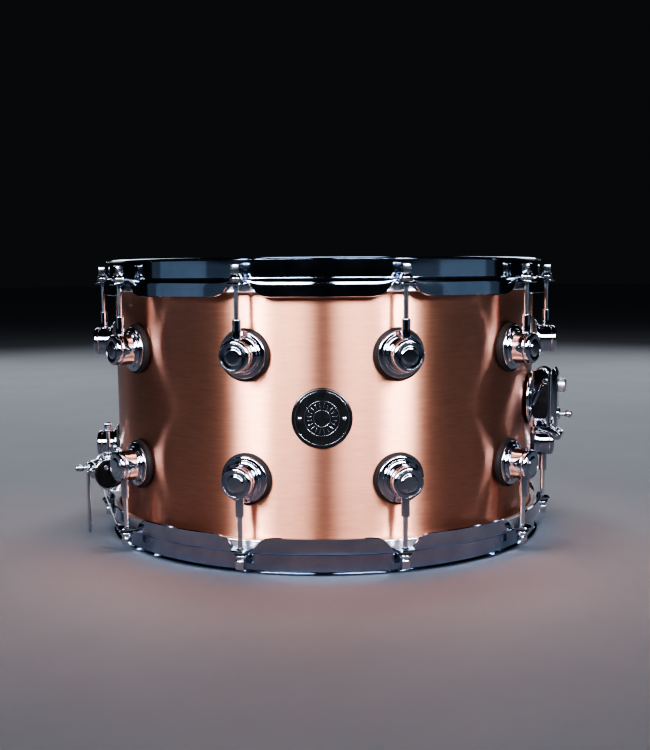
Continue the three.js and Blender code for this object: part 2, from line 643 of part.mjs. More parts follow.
/** Thumb knob that turns on a stub through the lever. */
function damperKnob() {
  const { height, radius, stub, depth, edge } = KNOB;
  const low = FLIP_LEVER.outer + GAP;
  const knob = turnedOutwards([
    [0, FLIP_LEVER.inner], [stub, FLIP_LEVER.inner], [stub, low], [radius - 1, low], [radius, low + 1],
    [radius, low + depth - edge], [radius - edge, low + depth], [0, low + depth],
  ], 14).translate(0, 0, height);
  return piece('damper_knob', geometryOf(solid(knob)).translate(SHELL_RADIUS, 0, 0), CHROME);
}

/** Spring arm inside the shell, with a felt pad just under the batter head. */
function damperArm() {
  const { pivotIn, pin, hub, hubHalf, earOuter, stripHalf, padRadius, padIn, padDrop, padThick } = ARM;
  const padTop = TOP_EDGE - padDrop;
  const padFoot = padTop - padThick;
  const barrel = crossPin(hub, -hubHalf, hubHalf, 12).translate(pivotIn, 0, MID_HEIGHT);
  const axle = crossPin(pin, -earOuter, earOuter, 10).translate(pivotIn, 0, MID_HEIGHT);
  const strip = sidePlate(outlineOf([
    [pivotIn - 1, MID_HEIGHT], [pivotIn + 0.6, MID_HEIGHT], [pivotIn - 8, padFoot - 20],
    [padIn + 4, padFoot + 0.4], [padIn - 4, padFoot + 0.4], [padIn - 4, padFoot - 1],
    [padIn + 3, padFoot - 1], [pivotIn - 9.6, padFoot - 20.4],
  ]), -stripHalf, stripHalf);
  const pad = post(padRadius, padFoot, padTop, 20).translate(padIn, 0, 0);
  const arm = joined(barrel, axle, strip, pad);
  return piece('damper_arm', geometryOf(arm).translate(SHELL_RADIUS, 0, 0), FELT);
}

// ---------------------------------------------------------------- the drum

const bottomGates = [STRAINER_AZIMUTH, BUTT_AZIMUTH].map((azimuth) => endAzimuth(azimuth, false));

const drum = new THREE.Group();
drum.add(
  shell(),
  badge(),
  drumEnd(true, headFilm('batter_head', COATED_FILM), fleshHoop('batter_flesh_hoop'), hoop('top_hoop', [])),
  drumEnd(false, headFilm('snare_head', CLEAR_FILM), fleshHoop('snare_flesh_hoop'),
    hoop('bottom_hoop', bottomGates)),
  ...tensionSet(true),
  ...tensionSet(false),
  facing(STRAINER_AZIMUTH, strainerHousing(), strainerSideCap(), strainerSlider(), strainerScrew(),
    strainerLever(), snareWires()),
  facing(BUTT_AZIMUTH, buttBlock(), buttClampPlate()),
  facing(DAMPER_AZIMUTH, damperHousing(), damperLever(), damperKnob(), damperArm()),
);

export default drum;
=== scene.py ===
import json
import math

import bmesh
import bpy
import numpy as np
from mathutils import Matrix, Vector


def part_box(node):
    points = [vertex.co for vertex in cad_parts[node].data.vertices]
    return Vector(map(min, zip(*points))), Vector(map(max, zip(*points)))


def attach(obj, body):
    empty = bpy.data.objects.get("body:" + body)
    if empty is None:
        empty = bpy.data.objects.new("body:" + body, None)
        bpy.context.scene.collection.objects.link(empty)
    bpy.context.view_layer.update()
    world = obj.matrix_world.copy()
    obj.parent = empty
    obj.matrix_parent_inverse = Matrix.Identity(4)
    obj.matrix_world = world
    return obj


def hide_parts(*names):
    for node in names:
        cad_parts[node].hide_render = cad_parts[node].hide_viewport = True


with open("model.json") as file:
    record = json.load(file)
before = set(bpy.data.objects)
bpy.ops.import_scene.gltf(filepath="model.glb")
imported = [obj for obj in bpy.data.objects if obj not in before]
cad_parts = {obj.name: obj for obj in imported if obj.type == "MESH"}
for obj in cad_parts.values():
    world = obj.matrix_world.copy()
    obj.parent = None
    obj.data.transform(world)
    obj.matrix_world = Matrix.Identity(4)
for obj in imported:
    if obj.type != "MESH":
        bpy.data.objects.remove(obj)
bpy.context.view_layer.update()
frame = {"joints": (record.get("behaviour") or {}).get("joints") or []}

# Shapes are drawn in millimetres and become metres in mesh_from(). Azimuths are degrees round the drum:
# 0 is the badge (-Y), 90 is +X. Fittings are drawn with x outwards from the shell, y along it, z up.
MM = 0.001

# ---------------------------------------------------------------- sizes taken from the frame


def millimetres(corner):
    return [value / MM for value in corner]


def joint_named(name):
    return next(joint for joint in frame["joints"] if joint["name"] == name)


def joint_azimuth(name):
    x, y, _ = joint_named(name)["pos_m"]
    return math.degrees(math.atan2(x, -y))


shell_low, shell_high = map(millimetres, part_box("shell"))
SHELL_RADIUS = shell_high[0]
BOTTOM_EDGE = shell_low[2]
TOP_EDGE = shell_high[2]
MID_HEIGHT = (BOTTOM_EDGE + TOP_EDGE) / 2
RIM_RISE = BOTTOM_EDGE
ROD_RADIUS = joint_named("tension_top_03")["pos_m"][0] / MM
EAR_DROP = TOP_EDGE - joint_named("tension_top_01")["pos_m"][2] / MM
LUG_TUBE_END = 25.5
LUG_ROW = millimetres(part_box("lug_top_01")[1])[2] - LUG_TUBE_END - MID_HEIGHT
ROD_AZIMUTHS = [joint_azimuth(f"tension_top_{i:02d}") for i in range(1, 11)]
STRAINER_AZIMUTH = joint_azimuth("strainer_lever_throw")
BUTT_AZIMUTH = joint_azimuth("snare_wires_drop")
DAMPER_AZIMUTH = joint_azimuth("damper_lever_flip")

SHELL_WALL = 1.5
HOOP_SHEET = 1.8
ROD_SHANK = 2.0
KEY_SQUARE = 6.3

# ---------------------------------------------------------------- materials


def node_material(name):
    """New material: (material, its shader, a function that adds nodes, a function that links sockets)."""
    material = bpy.data.materials.new(name)
    material.use_nodes = True
    tree = material.node_tree
    shader = tree.nodes["Principled BSDF"]

    def add(kind, **settings):
        node = tree.nodes.new(kind)
        for key, value in settings.items():
            if hasattr(node, key):
                setattr(node, key, value)
            else:
                node.inputs[key].default_value = value
        return node

    return material, shader, add, tree.links.new


def grain(add, link, stretch, scale, detail):
    """Noise over the object's own coordinates, stretched by (x, y, z) factors."""
    place = add("ShaderNodeTexCoord")
    mapping = add("ShaderNodeMapping")
    mapping.inputs["Scale"].default_value = stretch
    noise = add("ShaderNodeTexNoise", Scale=scale, Detail=detail, Roughness=0.6)
    link(place.outputs["Object"], mapping.inputs["Vector"])
    link(mapping.outputs["Vector"], noise.inputs["Vector"])
    return noise.outputs["Fac"]


def spread(add, link, source, low, high):
    """The noise's middle range, mapped to low..high."""
    ranged = add("ShaderNodeMapRange")
    ranged.inputs["From Min"].default_value = 0.3
    ranged.inputs["From Max"].default_value = 0.7
    ranged.inputs["To Min"].default_value = low
    ranged.inputs["To Max"].default_value = high
    link(source, ranged.inputs["Value"])
    return ranged.outputs["Result"]


def tinted(add, link, source, dark, light):
    """The noise's middle range, mapped to a colour between dark and light."""
    ramp = add("ShaderNodeValToRGB")
    ramp.color_ramp.elements[0].position = 0.32
    ramp.color_ramp.elements[1].position = 0.68
    ramp.color_ramp.elements[0].color = (*dark, 1)
    ramp.color_ramp.elements[1].color = (*light, 1)
    link(source, ramp.inputs["Fac"])
    return ramp.outputs["Color"]


def bumped(add, link, shader, source, height, strength):
    bump = add("ShaderNodeBump", Strength=strength, Distance=height * MM)
    link(source, bump.inputs["Height"])
    link(bump.outputs["Normal"], shader.inputs["Normal"])


def brushed_copper():
    """Copper brushed round the shell, with lacquer over it: fine level lines and a slow change of tone."""
    material, shader, add, link = node_material("brushed_copper")
    shader.inputs["Metallic"].default_value = 1.0
    shader.inputs["Anisotropic"].default_value = 1.0
    shader.inputs["Anisotropic Rotation"].default_value = 0.25
    shader.inputs["Coat Weight"].default_value = 0.1
    shader.inputs["Coat Roughness"].default_value = 0.15
    lines = grain(add, link, (30, 30, 900), 3.0, 4.0)
    tone = grain(add, link, (6, 6, 90), 4.0, 3.0)
    line_share = 0.75
    mixed = add("ShaderNodeMath", operation="MULTIPLY_ADD")
    mixed.inputs[1].default_value = line_share
    link(lines, mixed.inputs[0])
    rest = add("ShaderNodeMath", operation="MULTIPLY")
    rest.inputs[1].default_value = 1 - line_share
    link(tone, rest.inputs[0])
    link(rest.outputs["Value"], mixed.inputs[2])
    blend = mixed.outputs["Value"]
    link(tinted(add, link, blend, (0.7, 0.31, 0.21), (0.86, 0.43, 0.3)), shader.inputs["Base Color"])
    link(spread(add, link, blend, 0.33, 0.45), shader.inputs["Roughness"])
    tangent = add("ShaderNodeTangent", direction_type="RADIAL", axis="Z")
    link(tangent.outputs["Tangent"], shader.inputs["Tangent"])
    bumped(add, link, shader, lines, 0.04, 0.2)
    return material


def plated(name, dark, light, rough, dimple):
    """Polished plating with faint wiping marks and a barely uneven surface."""
    material, shader, add, link = node_material(name)
    shader.inputs["Metallic"].default_value = 1.0
    marks = grain(add, link, (1, 1, 1), 38, 5.0)
    link(tinted(add, link, marks, dark, light), shader.inputs["Base Color"])
    link(spread(add, link, marks, *rough), shader.inputs["Roughness"])
    bumped(add, link, shader, grain(add, link, (1, 1, 1), 210, 2.0), dimple, 0.25)
    return material


def satin_metal(name, dark, light, rough, stretch):
    """Metal with a directional satin finish."""
    material, shader, add, link = node_material(name)
    shader.inputs["Metallic"].default_value = 1.0
    lines = grain(add, link, stretch, 6.0, 4.0)
    link(tinted(add, link, lines, dark, light), shader.inputs["Base Color"])
    link(spread(add, link, lines, *rough), shader.inputs["Roughness"])
    bumped(add, link, shader, lines, 0.03, 0.3)
    return material


def dull(name, dark, light, rough, scale, bump, coat=0.0, alpha=1.0, sheen=0.5):
    """Rubber, enamel, film, plastic or felt: one colour with a grain. Its bump is (height, strength)."""
    material, shader, add, link = node_material(name)
    shader.inputs["Coat Weight"].default_value = coat
    shader.inputs["Coat Roughness"].default_value = 0.08
    shader.inputs["Alpha"].default_value = alpha
    shader.inputs["Specular IOR Level"].default_value = sheen
    grains = grain(add, link, (1, 1, 1), scale, 5.0)
    link(tinted(add, link, grains, dark, light), shader.inputs["Base Color"])
    link(spread(add, link, grains, *rough), shader.inputs["Roughness"])
    bumped(add, link, shader, grains, *bump)
    return material


JET = (0.004, 0.004, 0.005)
WORN_JET = (0.009, 0.009, 0.011)

COPPER = brushed_copper()
# Hoop chrome, darker and bluer than plain chrome: painted reflection of a dark, bluish room.
HOOP_CHROME_PAINTED_DARK = plated("chrome_hoop", (0.34, 0.4, 0.5), (0.44, 0.5, 0.6), (0.04, 0.1), dimple=0.002)
# Lug chrome, a little darker and bluer than plain chrome: painted reflection of a dark room.
LUG_CHROME_PAINTED_DARK = plated("chrome_lug", (0.42, 0.45, 0.53), (0.52, 0.55, 0.63), (0.035, 0.08), dimple=0.002)
CHROME_CAST = plated("chrome_cast", (0.45, 0.48, 0.55), (0.56, 0.59, 0.66), (0.05, 0.11), dimple=0.004)
PLATED_ROD = plated("plated_rod", (0.6, 0.62, 0.68), (0.74, 0.76, 0.82), (0.1, 0.18), dimple=0.001)
ALUMINIUM = satin_metal(
    "satin_aluminium", (0.62, 0.63, 0.66), (0.78, 0.79, 0.81), (0.26, 0.42), stretch=(8, 8, 500))
WIRE = satin_metal(
    "snare_wire_steel", (0.5, 0.51, 0.54), (0.7, 0.71, 0.74), (0.2, 0.34), stretch=(300, 30, 30))
RUBBER = dull(
    "black_rubber", (0.005, 0.005, 0.006), (0.012, 0.012, 0.014), (0.5, 0.72), 900, (0.03, 0.4), sheen=0.25)
ENAMEL = dull("black_enamel", JET, WORN_JET, (0.16, 0.26), 260, (0.01, 0.15), coat=0.5)
CAP = dull("black_cap", JET, WORN_JET, (0.36, 0.48), 260, (0.01, 0.15), sheen=0.12)
# Near-black, slightly glossy finish of the washers that sit between the ears and the rod flanges.
WASHER_BLACK = dull(
    "washer_black", (0.008, 0.008, 0.009), (0.016, 0.016, 0.018), (0.4, 0.55), 700, (0.02, 0.3), sheen=0.3)
COATED = dull("coated_film", (0.78, 0.77, 0.73), (0.9, 0.89, 0.86), (0.62, 0.85), 900, (0.06, 0.5))
HAZY = dull("clear_film", (0.62, 0.64, 0.64), (0.76, 0.77, 0.77), (0.16, 0.28), 30, (0.01, 0.1), alpha=0.45)
STRAP = dull(
    "strap_plastic", (0.46, 0.49, 0.53), (0.51, 0.54, 0.58), (0.24, 0.34), 420, (0.01, 0.2), alpha=0.8)
FELT = dull("pressed_felt", (0.62, 0.6, 0.54), (0.84, 0.82, 0.76), (0.9, 1.0), 1300, (0.25, 0.9))

# ---------------------------------------------------------------- shapes: lists of points and faces


def merged(*shapes):
    points, faces = [], []
    for more_points, more_faces in shapes:
        start = len(points)
        points = points + [tuple(point) for point in more_points]
        faces = faces + [[start + index for index in face] for face in more_faces]
    return points, faces


def moved(shape, matrix):
    points, faces = shape
    return [tuple(matrix @ Vector(point)) for point in points], faces


def shifted(shape, x=0.0, y=0.0, z=0.0):
    return moved(shape, Matrix.Translation((x, y, z)))


def curved(start, corner, end, steps=5):
    """Points of the curve that leaves start towards the corner and arrives at end from it."""
    start, corner, end = Vector(start), Vector(corner), Vector(end)
    shares = [step / steps for step in range(steps + 1)]
    return [tuple(start * (1 - t) ** 2 + corner * 2 * t * (1 - t) + end * t ** 2) for t in shares]


FILLET_SHARE = 0.48


def filleted(outline, steps=4, closed=False):
    """Outline of (u, v) or (u, v, fillet) points, with a curve at each corner that has a fillet.

    A fillet takes up at most FILLET_SHARE of the straight on either side of it.
    """
    count = len(outline)
    result = []
    for index, point in enumerate(outline):
        corner = Vector(point[:2])
        size = point[2] if len(point) > 2 else 0
        inside = closed or 0 < index < count - 1
        if not size or not inside:
            result.append(tuple(corner))
            continue
        before = Vector(outline[index - 1][:2]) - corner
        after = Vector(outline[(index + 1) % count][:2]) - corner
        start = corner + before * min(size / before.length, FILLET_SHARE)
        end = corner + after * min(size / after.length, FILLET_SHARE)
        result += curved(start, corner, end, steps)
    return result


def lathe(outline, steps, closed=False):
    """Body turned about Z from an outline of (radius, height, fillet) points, running up its outside."""
    line = filleted(outline, closed=closed)
    points, rows = [], []
    for radius, height in line:
        if radius < 1e-6:
            rows.append([len(points)] * steps)
            points.append((0, 0, height))
            continue
        rows.append(list(range(len(points), len(points) + steps)))
        for step in range(steps):
            angle = 2 * math.pi * step / steps
            points.append((radius * math.cos(angle), radius * math.sin(angle), height))
    faces = []
    last = len(rows) if closed else len(rows) - 1
    for row in range(last):
        lower, upper = rows[row], rows[(row + 1) % len(rows)]
        for step in range(steps):
            after = (step + 1) % steps
            quad = [lower[step], lower[after], upper[after], upper[step]]
            face = [corner for place, corner in enumerate(quad) if corner not in quad[:place]]
            if len(face) > 2:
                faces.append(face)
    return points, faces


def outwards(shape):
    """A shape turned about Z made to point outwards, along +X."""
    return moved(shape, Matrix.Rotation(math.pi / 2, 4, "Y"))


def sideways(shape):
    """A shape turned about Z made to point along +Y."""
    return moved(shape, Matrix.Rotation(-math.pi / 2, 4, "X"))


def bevelled(shape, width):
    """The shape with its sharp edges rounded."""
    sharp_angle = math.radians(30)
    mesh = bmesh.new()
    corners = [mesh.verts.new(point) for point in shape[0]]
    for face in shape[1]:
        mesh.faces.new([corners[index] for index in face])
    bmesh.ops.recalc_face_normals(mesh, faces=mesh.faces)
    mesh.normal_update()
    sharp = [edge for edge in mesh.edges if edge.calc_face_angle(0) > sharp_angle]
    bmesh.ops.bevel(
        mesh, geom=sharp, offset=width, segments=3, profile=0.5, affect="EDGES", clamp_overlap=True)
    mesh.verts.index_update()
    result = [tuple(v.co) for v in mesh.verts], [[v.index for v in face.verts] for face in mesh.faces]
    mesh.free()
    return result


def prism(outline, low, high, bevel):
    """Plate with an outline of (x, z, fillet) points, from y = low to y = high."""
    line = filleted(outline, 5, closed=True)
    count = len(line)
    points = [(x, low, z) for x, z in line] + [(x, high, z) for x, z in line]
    faces = [list(range(count)), list(range(2 * count - 1, count - 1, -1))]
    faces += [[i, (i + 1) % count, count + (i + 1) % count, count + i] for i in range(count)]
    shape = points, faces
    return bevelled(shape, bevel) if bevel else shape


def block(low, high, bevel):
    """Box between two corners."""
    outline = [(low[0], low[2]), (high[0], low[2]), (high[0], high[2]), (low[0], high[2])]
    return prism(outline, low[1], high[1], bevel)


def rod(radius, low, high, bevel=0.3, steps=32):
    """Round bar along Z with softened ends."""
    return lathe([(0, low), (radius, low, bevel), (radius, high, bevel), (0, high)], steps)


def threaded(radius, low, high, pitch=0.8, depth=0.28):
    """Outline points of a thread, drawn as close ridges."""
    turns = int((high - low) / pitch)
    points = []
    for turn in range(turns):
        foot = low + turn * pitch
        points += [(radius - depth, foot), (radius, foot + pitch / 2)]
    return points


def skin(rings, size, closed=True):
    """Faces between neighbouring rings of points and, when closed, from the last ring to the first."""
    faces = []
    for ring in range(rings if closed else rings - 1):
        low, high = ring * size, (ring + 1) % rings * size
        for place in range(size):
            after = (place + 1) % size
            faces.append([low + place, low + after, high + after, high + place])
    return faces


def sweep(path, radius, sides):
    """Tube along a list of points, closed at both ends."""
    line = [Vector(point) for point in path]
    points = []
    side = (line[1] - line[0]).orthogonal().normalized()
    for index, centre in enumerate(line):
        ahead = line[min(index + 1, len(line) - 1)] - line[max(index - 1, 0)]
        ahead.normalize()
        side = (side - ahead * side.dot(ahead)).normalized()
        up = ahead.cross(side)
        for step in range(sides):
            angle = 2 * math.pi * step / sides
            points.append(tuple(centre + (side * math.cos(angle) + up * math.sin(angle)) * radius))
    faces = skin(len(line), sides, closed=False)
    faces.append(list(range(sides))[::-1])
    faces.append([(len(line) - 1) * sides + step for step in range(sides)])
    return points, faces


def both_sides(line, half_thick):
    """A line of points moved by half a thickness to its left, and the same to its right."""
    points = [Vector(point) for point in line]
    left, right = [], []
    for index, point in enumerate(points):
        ahead = (points[min(index + 1, len(points) - 1)] - points[max(index - 1, 0)]).normalized()
        normal = Vector((-ahead.y, ahead.x)) * half_thick
        left.append(tuple(point + normal))
        right.append(tuple(point - normal))
    return left, right


def ribbon(line, half_width, half_thick, bevel=0.12):
    """Flat strip along a line of (x, z) points, from y = -half_width to +half_width."""
    upper, lower = both_sides(line, half_thick)
    return prism(upper + lower[::-1], -half_width, half_width, bevel)


def mirrored_spans(inner, outer):
    """The spans (low, high) of a pair of plates, one on each side of y = 0."""
    return (inner, outer), (-outer, -inner)


# ---------------------------------------------------------------- from shapes to pieces


SMOOTH_ANGLE = 38


def mesh_from(name, shape):
    mesh = bpy.data.meshes.new(name)
    mesh.from_pydata([[MM * value for value in point] for point in shape[0]], [], shape[1])
    return mesh


def new_mesh(name, shape, material, smooth_angle=SMOOTH_ANGLE):
    """Mesh of one material with outward normals, smooth except at edges sharper than an angle."""
    mesh = mesh_from(name, shape)
    shaded = bmesh.new()
    shaded.from_mesh(mesh)
    bmesh.ops.recalc_face_normals(shaded, faces=shaded.faces)
    shaded.to_mesh(mesh)
    shaded.free()
    mesh.shade_smooth()
    mesh.set_sharp_from_angle(angle=math.radians(smooth_angle))
    mesh.materials.append(material)
    return mesh


def new_object(name, data):
    obj = bpy.data.objects.new(name, data)
    bpy.context.scene.collection.objects.link(obj)
    return obj


def add_piece(name, mesh, body, matrix, replaces=()):
    """Object from a mesh, placed, riding on a CAD body and standing for CAD nodes."""
    obj = new_object(name, mesh)
    obj.matrix_world = matrix
    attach(obj, body)
    if replaces:
        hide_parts(*replaces)


def add_shape(name, shape, material, body, matrix, replaces=()):
    """Piece with a mesh of its own, under the same name."""
    add_piece(name, new_mesh(name, shape, material), body, matrix, replaces)


def towards(azimuth):
    """Turn round the drum's axis that brings +X to an azimuth."""
    return Matrix.Rotation(math.radians(azimuth - 90), 4, "Z")


def facing(azimuth, height=0.0, radius=SHELL_RADIUS):
    """Frame of a fitting: x outwards from the shell's surface, or from another radius, in metres."""
    return towards(azimuth) @ Matrix.Translation((radius * MM, 0, height * MM))


def drum_end(top):
    """Frame of one end: z = 0 at the bearing edge, +z away from the drum's middle."""
    height = (TOP_EDGE if top else BOTTOM_EDGE) * MM
    turn = Matrix.Identity(4) if top else Matrix.Rotation(math.pi, 4, "X")
    return Matrix.Translation((0, 0, height)) @ turn


def cut_mesh(mesh, cutter_shape):
    """The mesh with the cutter's bodies taken out of it."""
    cutter = new_object("cutter", mesh_from("cutter", cutter_shape))
    body = new_object("cut_body", mesh)
    boolean = body.modifiers.new("cut", "BOOLEAN")
    boolean.object = cutter
    boolean.operation = "DIFFERENCE"
    boolean.solver = "EXACT"
    evaluated = body.evaluated_get(bpy.context.evaluated_depsgraph_get())
    result = bpy.data.meshes.new_from_object(evaluated)
    bpy.data.objects.remove(cutter)
    bpy.data.objects.remove(body)
    result.name = mesh.name
    result.shade_smooth()
    result.set_sharp_from_angle(angle=math.radians(SMOOTH_ANGLE))
    return result


# ---------------------------------------------------------------- stage: camera, light, floor


def add_camera():
    """Camera at the drum's front, a little above the middle, looking slightly down."""
    distance, height, azimuth = 0.935, 0.2156, 0.69
    pitch, roll = -7.59, -0.37
    camera_data = bpy.data.cameras.new("camera")
    camera_data.lens = 51.44
    camera_data.sensor_width = 36
    camera_data.shift_y = 0.0563
    camera = new_object("camera", camera_data)
    turn = Matrix.Rotation(math.radians(azimuth), 4, "Z")
    tilt = Matrix.Rotation(math.radians(90 + pitch), 4, "X")
    level = Matrix.Rotation(math.radians(roll), 4, "Z")
    camera.matrix_world = turn @ Matrix.Translation((0, -distance, height)) @ tilt @ level
    bpy.context.scene.camera = camera


WHITE = (0.94, 0.95, 1.0)
SKY = (0.6, 0.79, 1.0)
NARROW_BEAM = 44
UPPER_DRUM = 0.2


def add_softbox(name, azimuth, distance, span, width, radiance, beam=180, aim=0.114, colour=WHITE):
    """Area light over a span of heights, turned to the drum. Its brightness doesn't depend on its size.

    It lies at an azimuth and a distance from the drum's axis, and is aimed at a height on that axis.
    """
    low, high = span
    data = bpy.data.lights.new(name, "AREA")
    data.shape = "RECTANGLE"
    data.size, data.size_y = width, high - low
    data.energy = radiance * math.pi * width * (high - low)
    data.spread = math.radians(beam)
    data.color = colour
    light = new_object(name, data)
    angle = math.radians(azimuth)
    place = Vector((math.sin(angle) * distance, -math.cos(angle) * distance, (low + high) / 2))
    light.location = place
    light.rotation_euler = (Vector((0, 0, aim)) - place).to_track_quat("-Z", "Y").to_euler()
    light.visible_camera = False
    return light


def add_floor():
    reach = 20000
    corners = [(-reach, -reach, 0), (reach, -reach, 0), (reach, reach, 0), (-reach, reach, 0)]
    paper = dull("pale_paper", (0.66, 0.69, 0.74), (0.72, 0.75, 0.8), (0.8, 0.9), 5, (0.05, 0.1))
    floor = new_object("floor", new_mesh("floor", (corners, [[0, 1, 2, 3]]), paper))
    return floor


def add_stage():
    """Pale floor, softboxes to the front, sides and rear on either hand, one overhead, and a dim world.

    The front and key pairs don't light the floor, so that it doesn't wash the chrome out from below.
    The side and wide pairs are faint and bluish: they are what the drum's flanks and hoops reflect.
    """
    floor = add_floor()
    flagged = bpy.data.collections.new("flagged_off")
    flagged.objects.link(floor)
    flagged.collection_objects[0].light_linking.link_state = "EXCLUDE"
    for side, name, key_azimuth in ((-1, "left", 37), (1, "right", 39.5)):
        front = add_softbox(
            f"front_{name}", side * 17.3, 1.7, (0.6, 1.2), 0.72, 1.2, NARROW_BEAM, UPPER_DRUM)
        key = add_softbox(
            f"key_{name}", side * key_azimuth, 1.7, (0.6, 1.25), 0.46, 3.4, NARROW_BEAM, UPPER_DRUM)
        front.light_linking.receiver_collection = flagged
        key.light_linking.receiver_collection = flagged
        add_softbox(f"side_{name}", side * 72, 1.7, (0.12, 0.8), 0.9, 0.15, colour=SKY)
        add_softbox(f"wide_{name}", side * 66, 2.1, (0.12, 0.9), 2.3, 0.13, colour=SKY)
        add_softbox(f"rear_{name}", side * 150, 2.0, (0.7, 1.5), 0.8, 2.8)
    add_softbox("overhead", 180, 0.35, (1.7, 2.3), 0.9, 4.0)
    world = bpy.data.worlds.new("studio")
    world.use_nodes = True
    world.node_tree.nodes["Background"].inputs["Color"].default_value = (0.8, 0.86, 1.0, 1)
    world.node_tree.nodes["Background"].inputs["Strength"].default_value = 0.015
    bpy.context.scene.world = world
    bpy.context.scene.view_settings.view_transform = "AgX"
    bpy.context.scene.view_settings.look = "AgX - High Contrast"


# ---------------------------------------------------------------- shell, heads, flesh hoops


def add_shell():
    """Seamless shell with 45 degree bearing edges."""
    inner = SHELL_RADIUS - SHELL_WALL
    crest = SHELL_RADIUS - 0.7 * SHELL_WALL
    chamfer = 1.2
    low, high = BOTTOM_EDGE, TOP_EDGE
    outline = [
        (SHELL_RADIUS, low + chamfer, 0.3), (SHELL_RADIUS, high - chamfer, 0.3), (crest, high, 0.25),
        (inner, high - chamfer, 0.3), (inner, low + chamfer, 0.3), (crest, low, 0.25),
    ]
    wall = lathe(outline, 288, closed=True)
    add_shape("shell_wall", wall, COPPER, "drum", Matrix.Identity(4), ["shell"])


def add_heads():
    """Films with a collar that turns over the bearing edge into the flesh hoop."""
    crown = 0.3
    film = 0.35
    edge = SHELL_RADIUS + 0.55
    collar_end = -10.5
    outer = edge + film
    outline = [
        (0, crown), (edge - 0.9, crown, 0.7), (edge, -0.6, 0.5), (edge, collar_end, 0.1),
        (outer, collar_end, 0.1), (outer, -0.4, 0.6), (edge - 0.7, crown + film, 0.8), (0, crown + film),
    ]
    ends = (("batter", True, COATED, "coated_film"), ("snare", False, HAZY, "clear_film"))
    for side, top, material, slot in ends:
        film_shape = lathe(outline, 192)
        add_shape(f"{side}_film", film_shape, material, "drum", drum_end(top), [f"{side}_head"])


def add_flesh_hoops():
    """Aluminium channel that the film is bonded into, with a small bead on its lower edge."""
    inner, outer = SHELL_RADIUS + 1.4, SHELL_RADIUS + 6.6
    low, high = -12.6, -4.6
    outline = [
        (inner, low, 0.5), (outer - 0.5, low, 0.8), (outer, low + 0.9, 0.5), (outer - 0.4, low + 2.0, 0.4),
        (outer - 0.2, high - 0.8, 0.5), (outer - 0.9, high, 0.6), (inner, high, 0.5),
    ]
    mesh = new_mesh("flesh_hoop", lathe(outline, 192, closed=True), ALUMINIUM)
    for side, top in (("batter", True), ("snare", False)):
        name = f"{side}_flesh_hoop"
        add_piece(f"{name}_channel", mesh, "drum", drum_end(top), [name])


# ---------------------------------------------------------------- hoops


COLLAR = SHELL_RADIUS + 3.9
SKIRT = SHELL_RADIUS + 8.4
RIM = RIM_RISE - HOOP_SHEET / 2
FLANGE = -3.2
EAR = -EAR_DROP - 0.1
EAR_REACH = 11.5
EAR_HALF = 7.4
EAR_SQUARENESS = 6
EAR_SOFTNESS = 0.02
SCALLOP_START, SCALLOP_SPAN = 6.4, 19.0
SCALLOP_ROUNDNESS = 2.6
SCALLOP_ROOT = 0.4
SKIRT_DEPTH = 8.9


def skirt_hang(distance):
    """How far the skirt hangs down, from 0 at an ear to 1 away from the rods."""
    along = min(max((distance - SCALLOP_START) / SCALLOP_SPAN, 0), 1)
    root = min(along / SCALLOP_ROOT, 1)
    return (1 - (1 - along) ** SCALLOP_ROUNDNESS) * math.sqrt(root * root * (3 - 2 * root))


def ear_reach(distance):
    """How far the skirt's lower edge turns out: an ear with rounded corners, and nothing past it."""
    if distance > 2 * EAR_HALF:
        return 0
    tab = 1 - (distance / EAR_HALF) ** EAR_SQUARENESS
    return EAR_REACH * 0.5 * (tab + math.sqrt(tab * tab + EAR_SOFTNESS))


def hoop_line(distance):
    """Centre line of the bent sheet: turned-out rim, collar, flange, shoulder, skirt, ear."""
    hang = skirt_hang(distance)
    foot = 1.4
    shoulder = 1.5 + 3.7 * hang
    bend = 1.3 * (1 - hang) + 0.1
    edge = Vector((SKIRT + 0.1 + ear_reach(distance), EAR - SKIRT_DEPTH * hang - 0.05))
    corner = Vector((SKIRT, EAR - 2.5 * hang))
    reach = edge - corner
    bend_end = corner + reach.normalized() * min(bend, FILLET_SHARE * reach.length)
    line = filleted([
        (COLLAR + 2.2, RIM - 0.8), (COLLAR + 1.5, RIM, 0.7), (COLLAR, RIM, 1.2),
        (COLLAR, FLANGE + foot + 0.5),
    ])
    line += curved((COLLAR, FLANGE + foot), (COLLAR, FLANGE), (COLLAR + foot, FLANGE))
    line += curved((SKIRT - 2.9, FLANGE), (SKIRT, FLANGE), (SKIRT, FLANGE - shoulder))
    line += curved(corner + Vector((0, bend)), corner, bend_end)
    line.append(tuple(edge))
    return line


def hoop_section(distance):
    """Closed section of the hoop, at a distance along the rim from the nearest rod.

    The skirt hangs down between the rods. Close to a rod its lower edge rises and turns out into the ear.
    """
    line = hoop_line(distance)
    half = HOOP_SHEET / 2
    outer, inner = both_sides(line, half)
    end = Vector(line[-1])
    tip = end + (end - Vector(line[-2])).normalized() * half * 0.6
    return outer + [tuple(tip)] + inner[::-1]


def hoop_shape():
    """Hoop in its end's frame, with close stations near the ears and wide ones between them."""
    half_sector = math.pi * SKIRT / len(ROD_AZIMUTHS)
    near = SCALLOP_START + SCALLOP_SPAN + 2
    fine = np.linspace(0, near, 34, endpoint=False)
    coarse = np.linspace(near, half_sector, 8)
    side = np.concatenate([fine, coarse])
    distances = np.concatenate([-side[:0:-1], side[:-1]])
    points = []
    for azimuth in sorted(ROD_AZIMUTHS):
        for distance in distances:
            angle = math.radians(azimuth - 90) + distance / SKIRT
            for out, height in hoop_section(abs(distance)):
                points.append((out * math.cos(angle), out * math.sin(angle), height))
    stations = len(ROD_AZIMUTHS) * len(distances)
    return points, skin(stations, len(hoop_section(0)))


def ear_hole_cutters():
    hole = rod(3.1, -EAR_DROP - 5, -EAR_DROP + 3, 0, 24)
    out = Matrix.Translation((ROD_RADIUS, 0, 0))
    return merged(*[moved(hole, towards(azimuth) @ out) for azimuth in ROD_AZIMUTHS])


